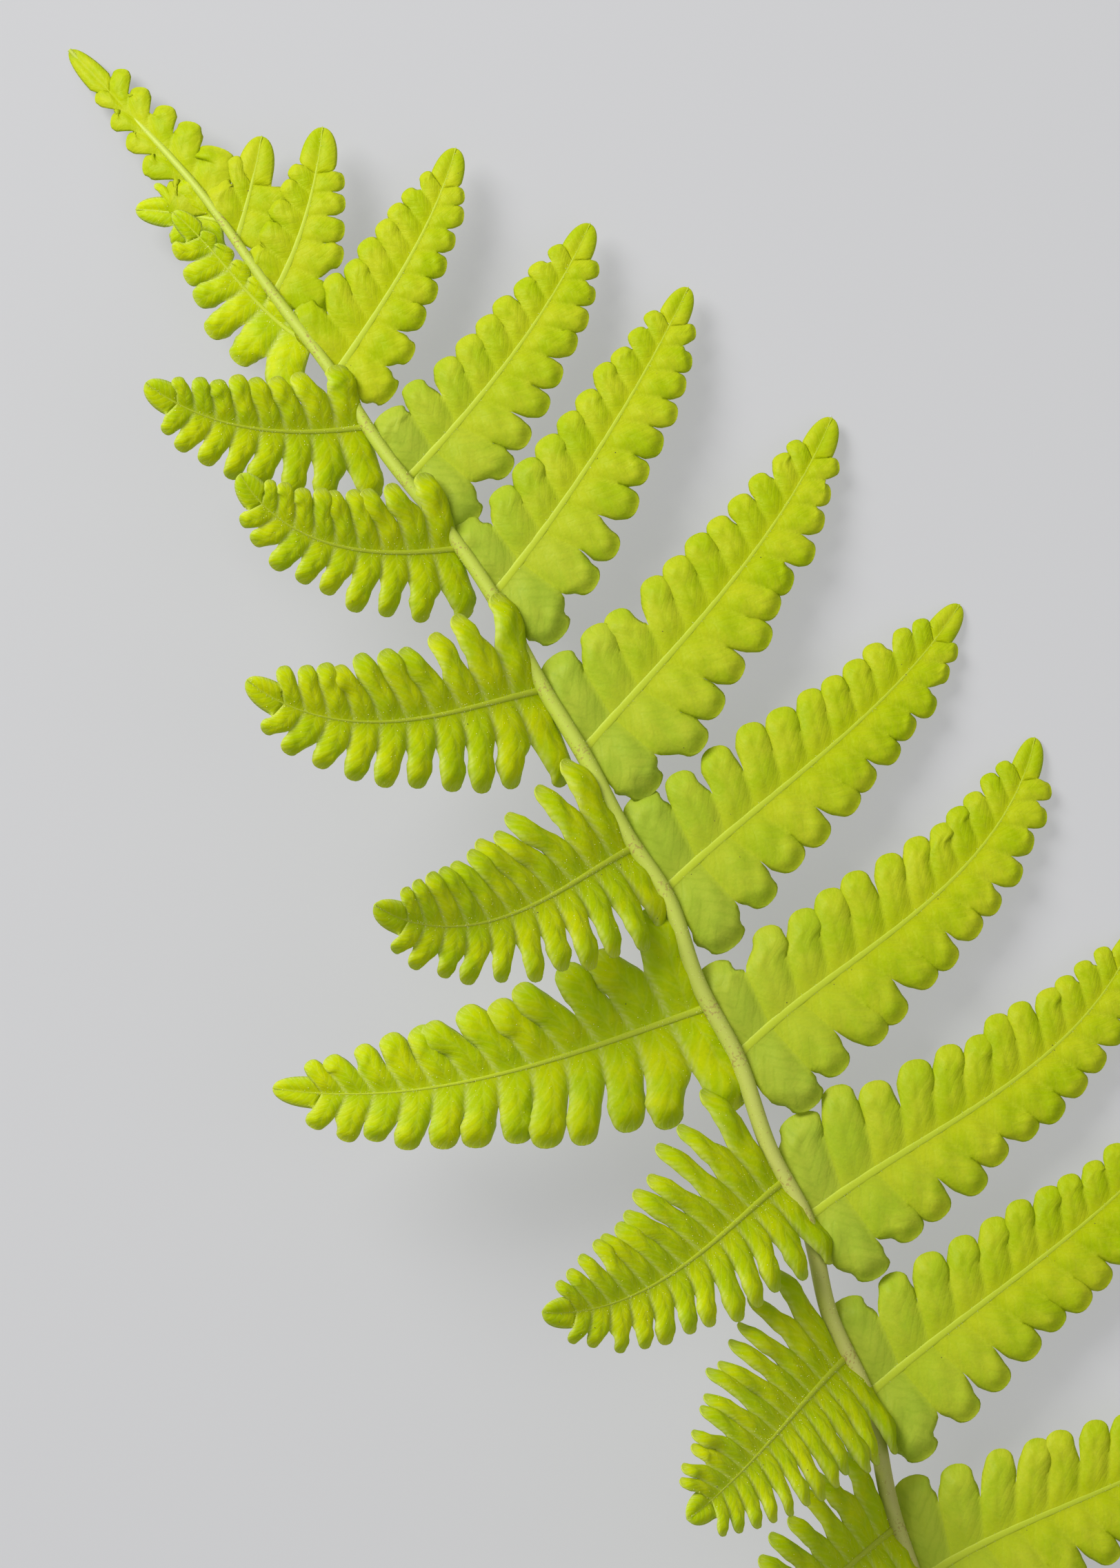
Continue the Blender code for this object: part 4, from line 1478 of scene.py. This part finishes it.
@dataclass
class Frond:
    """The frond's pieces, in their finishes."""

    rachis: RachisLine = field(default_factory=RachisLine)
    rachis_samples: int = 700
    rachis_rise: float = 0.5
    rise_from: float = -170.0
    rise_run: float = 20.0
    apex_from: float = 76.0
    apex_run: float = 18.0
    apex_sink: float = 1.55
    least_rise: float = 0.6
    axil_length: float = 1.1
    rib_base: dict[Side, float] = field(default_factory=lambda: {Side.OPEN: 0.58, Side.CURLED: 0.46})
    rib_tip: float = 0.05
    rib_least: float = 0.55
    rib_growth: float = 0.45
    rib_thinning: float = 1.2
    full_rib: float = 50.0
    # Open pinnae below this y, in mm, get painted shade on their segments nearest the rachis.
    painted_shade_below: float = 45.0
    upper_above: float = -25.0
    first_seed: int = 100

    def blades(self) -> dict[tuple[Side, str], list[Blade]]:
        """Lays out all blades.

        Returns:
            The blades in groups of one piece each, by their side and their end of the frond.
        """
        groups: dict[tuple[Side, str], list[Blade]] = {}
        for number, pinna in enumerate(PINNAE):
            LOG.debug("%s: %d segments", pinna.name, pinna.segments)
            # Painted shade for the lower open pinnae.
            painted_shade = 1.0 if pinna.side is Side.OPEN and pinna.y < self.painted_shade_below else 0.0
            blade = Blade(pinna_costa(pinna, self.rachis), STYLES[pinna.side], pinna.touches,
                          self.first_seed + number, painted_shade_base=painted_shade)
            end = "upper" if pinna.y > self.upper_above else "lower"
            groups.setdefault((pinna.side, end), []).append(blade)
        tip = Blade(apex_costa(self.rachis), STYLES[Side.OPEN], touches=False, seed=self.first_seed - 1)
        groups[Side.OPEN, "upper"].append(tip)
        return groups

    def rib_lines(self, blades: list[Blade], side: Side) -> list[tuple[np.ndarray, np.ndarray]]:
        """The ribs' lines and radii, in mm, without the tip's, which is the rachis.

        Args:
            blades: The blades of one side.
            side: Which side it is.

        Returns:
            Each rib's points and its radius at them.
        """
        lines = []
        for blade in blades:
            if isinstance(blade.costa, ApexCosta):
                continue
            growth = self.rib_least + self.rib_growth * blade.costa.length / self.full_rib
            base = self.rib_base[side] * growth
            radii = self.rib_tip + (base - self.rib_tip) * (1.0 - blade.costa.u) ** self.rib_thinning
            lines.append((blade.rib_line(), radii))
        return lines

    def dress(self, piece: bpy.types.Object) -> None:
        """Lets a finished piece stand for the part's solid.

        Args:
            piece: The piece.
        """
        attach(piece, "root")
        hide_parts(NODE)
        piece.data.calc_loop_triangles()
        LOG.info("%s: %d triangles", piece.name, len(piece.data.loop_triangles))

    def build(self) -> None:
        """Makes every piece of the frond."""
        effects = ShaderGroups()
        mottle, veins = effects.mottle(), effects.veins()
        leaves = {side: finish.material(mottle, veins)
                  for side, finish in ((Side.OPEN, OPEN_LEAF), (Side.CURLED, CURLED_LEAF))}
        gland, speck, hair = (finish.material(mottle) for finish in (GLAND_FINISH, SPECK_FINISH, HAIR_FINISH))
        beads = BeadRecipe().build()
        ribs: dict[Side, list[Blade]] = {Side.OPEN: [], Side.CURLED: []}
        for (side, end), blades in self.blades().items():
            ribs[side].extend(blades)
            part = f"{side.name.lower()}_{end}"
            lamina = Lamina(f"lamina_{part}", blades)
            self.dress(lamina.build(leaves[side]))
            if side is Side.CURLED:
                self.dress(beads.grow(f"glands_{part}", lamina.sheet.copy(), LEAF_GLANDS.inputs(gland)))
            self.dress(beads.grow(f"specks_{part}", lamina.sheet.copy(), SPECKS.inputs(speck)))
        self.stems(ribs, mottle, beads, gland, hair)

    def rachis_mesh(self) -> bpy.types.Mesh:
        """The rachis's line, which stands a little over the blades' feet and sinks into the frond's tip.

        Returns:
            The line as a mesh of edges with its radii.
        """
        points = natural_curve(self.rachis.route, self.rachis_samples)
        radii = self.rachis.radius(points[:, 1])
        points[:, 2] = np.maximum(points[:, 2], radii)
        points[:, 2] += self.rachis_rise * smooth((points[:, 1] - self.rise_from) / self.rise_run)
        sink = self.rachis_rise + self.apex_sink * radii
        points[:, 2] -= sink * smooth((points[:, 1] - self.apex_from) / self.apex_run)
        points[:, 2] = np.maximum(points[:, 2], self.least_rise * radii)
        off = np.min(np.abs(points[:, 1][:, None] - np.array([pinna.y for pinna in PINNAE])), axis=1)
        return polyline_mesh("rachis", [(points, radii)], np.exp(-((off / self.axil_length) ** 2)))

    def stems(self, ribs: dict[Side, list[Blade]], mottle: bpy.types.NodeTree, beads: Recipe,
              gland: bpy.types.Material, hair: bpy.types.Material) -> None:
        """Makes the rachis, the costae and their hairs and glands.

        Args:
            ribs: The blades of each side.
            mottle: The group of soft patches.
            beads: The recipe for glands.
            gland: The glands' finish.
            hair: The hairs' finish.
        """
        stem, coat = StemRecipe().build(), HairRecipe().build()
        main = self.rachis_mesh()
        rachis = stem.grow("rachis", main.copy(), RACHIS_SECTION.inputs(RACHIS_FINISH.material(mottle)))
        self.dress(rachis)
        self.dress(beads.grow("glands_rachis", covered(rachis.data), RACHIS_GLANDS.inputs(gland)))
        self.dress(coat.grow("hairs_rachis", main, RACHIS_HAIRS.inputs(hair)))
        for side, finish in ((Side.OPEN, OPEN_COSTA), (Side.CURLED, CURLED_COSTA)):
            label = side.name.lower()
            lines = polyline_mesh(f"costae_{label}", self.rib_lines(ribs[side], side))
            section = COSTA_SECTIONS[side].inputs(finish.material(mottle))
            costae = stem.grow(f"costae_{label}", lines.copy(), section)
            self.dress(costae)
            if side is Side.CURLED:
                self.dress(beads.grow("glands_costae", covered(costae.data), COSTA_GLANDS.inputs(gland)))
            self.dress(coat.grow(f"hairs_{label}", lines, COSTA_HAIRS.inputs(hair)))


@dataclass(frozen=True)
class SoftLight:
    """A square soft light that faces the frond: its place and side in metres, and its power in watts."""

    name: str
    place: tuple[float, float, float]
    size: float
    power: float

    def build(self) -> None:
        """Hangs the light."""
        data = bpy.data.lights.new(self.name, "AREA")
        data.size = self.size
        data.energy = self.power
        obj = bpy.data.objects.new(self.name, data)
        obj.location = self.place
        obj.rotation_euler = Vector(self.place).to_track_quat("Z", "Y").to_euler()
        bpy.context.scene.collection.objects.link(obj)


@dataclass
class Studio:
    """A pale floor, soft light and the camera over the frond."""

    camera_height: float = 0.61
    focus_height: float = 0.01
    frame_height: float = 0.18192
    turn: float = -17.0
    sensor: float = 36.0
    floor_size: float = 1.6
    floor_level: float = -0.00005
    floor_colour: tuple[float, float, float] = (0.18, 0.18, 0.183)
    floor_roughness: float = 0.9
    floor_specular: float = 0.1
    floor_glow: tuple[float, float, float] = (0.56, 0.56, 0.57)
    floor_glow_strength: float = 0.68
    air: tuple[float, float, float] = (0.95, 0.97, 1.0)
    air_strength: float = 0.3
    clip_start: float = 0.01
    lights: tuple[SoftLight, ...] = (
        SoftLight("key", (-0.33, 0.62, 0.62), size=0.45, power=10.5),
        SoftLight("fill", (0.5, -0.3, 0.9), size=0.8, power=1.5),
    )

    def camera(self) -> None:
        """A camera that looks straight down with the photograph's framing."""
        data = bpy.data.cameras.new("camera")
        data.sensor_fit = "VERTICAL"
        data.sensor_height = self.sensor
        data.lens = self.sensor * (self.camera_height - self.focus_height) / self.frame_height
        data.clip_start = self.clip_start
        obj = bpy.data.objects.new("camera", data)
        obj.location = (-ORIGIN[0] * MM, -ORIGIN[1] * MM, self.camera_height)
        obj.rotation_euler = (0.0, 0.0, math.radians(self.turn))
        bpy.context.scene.collection.objects.link(obj)
        bpy.context.scene.camera = obj

    def floor(self) -> None:
        """A pale floor that glows a little, as a light table does."""
        mesh = bpy.data.meshes.new("floor")
        h = self.floor_size / 2
        corners = [(x, y, self.floor_level) for x, y in ((-h, -h), (h, -h), (h, h), (-h, h))]
        mesh.from_pydata(corners, [], [(0, 1, 2, 3)])
        material = bpy.data.materials.new("pale floor")
        material.use_nodes = True
        surface = material.node_tree.nodes["Principled BSDF"]
        for socket, value in (("Base Color", (*self.floor_colour, 1.0)), ("Roughness", self.floor_roughness),
                              ("Specular IOR Level", self.floor_specular),
                              ("Emission Color", (*self.floor_glow, 1.0)),
                              ("Emission Strength", self.floor_glow_strength)):
            surface.inputs[socket].default_value = value
        mesh.materials.append(material)
        obj = bpy.data.objects.new("floor", mesh)
        bpy.context.scene.collection.objects.link(obj)

    def build(self) -> None:
        """Sets the stage."""
        scene = bpy.context.scene
        scene.view_settings.view_transform = "Standard"
        world = bpy.data.worlds.new("world")
        world.use_nodes = True
        background = world.node_tree.nodes["Background"]
        background.inputs["Color"].default_value = (*self.air, 1.0)
        background.inputs["Strength"].default_value = self.air_strength
        scene.world = world
        self.camera()
        self.floor()
        for light in self.lights:
            light.build()


def main() -> None:
    """Builds the frond and its stage."""
    logging.basicConfig(level=logging.INFO, format="%(message)s")
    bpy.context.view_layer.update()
    Studio().build()
    Frond().build()
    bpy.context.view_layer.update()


if __name__ == "__main__":
    main()
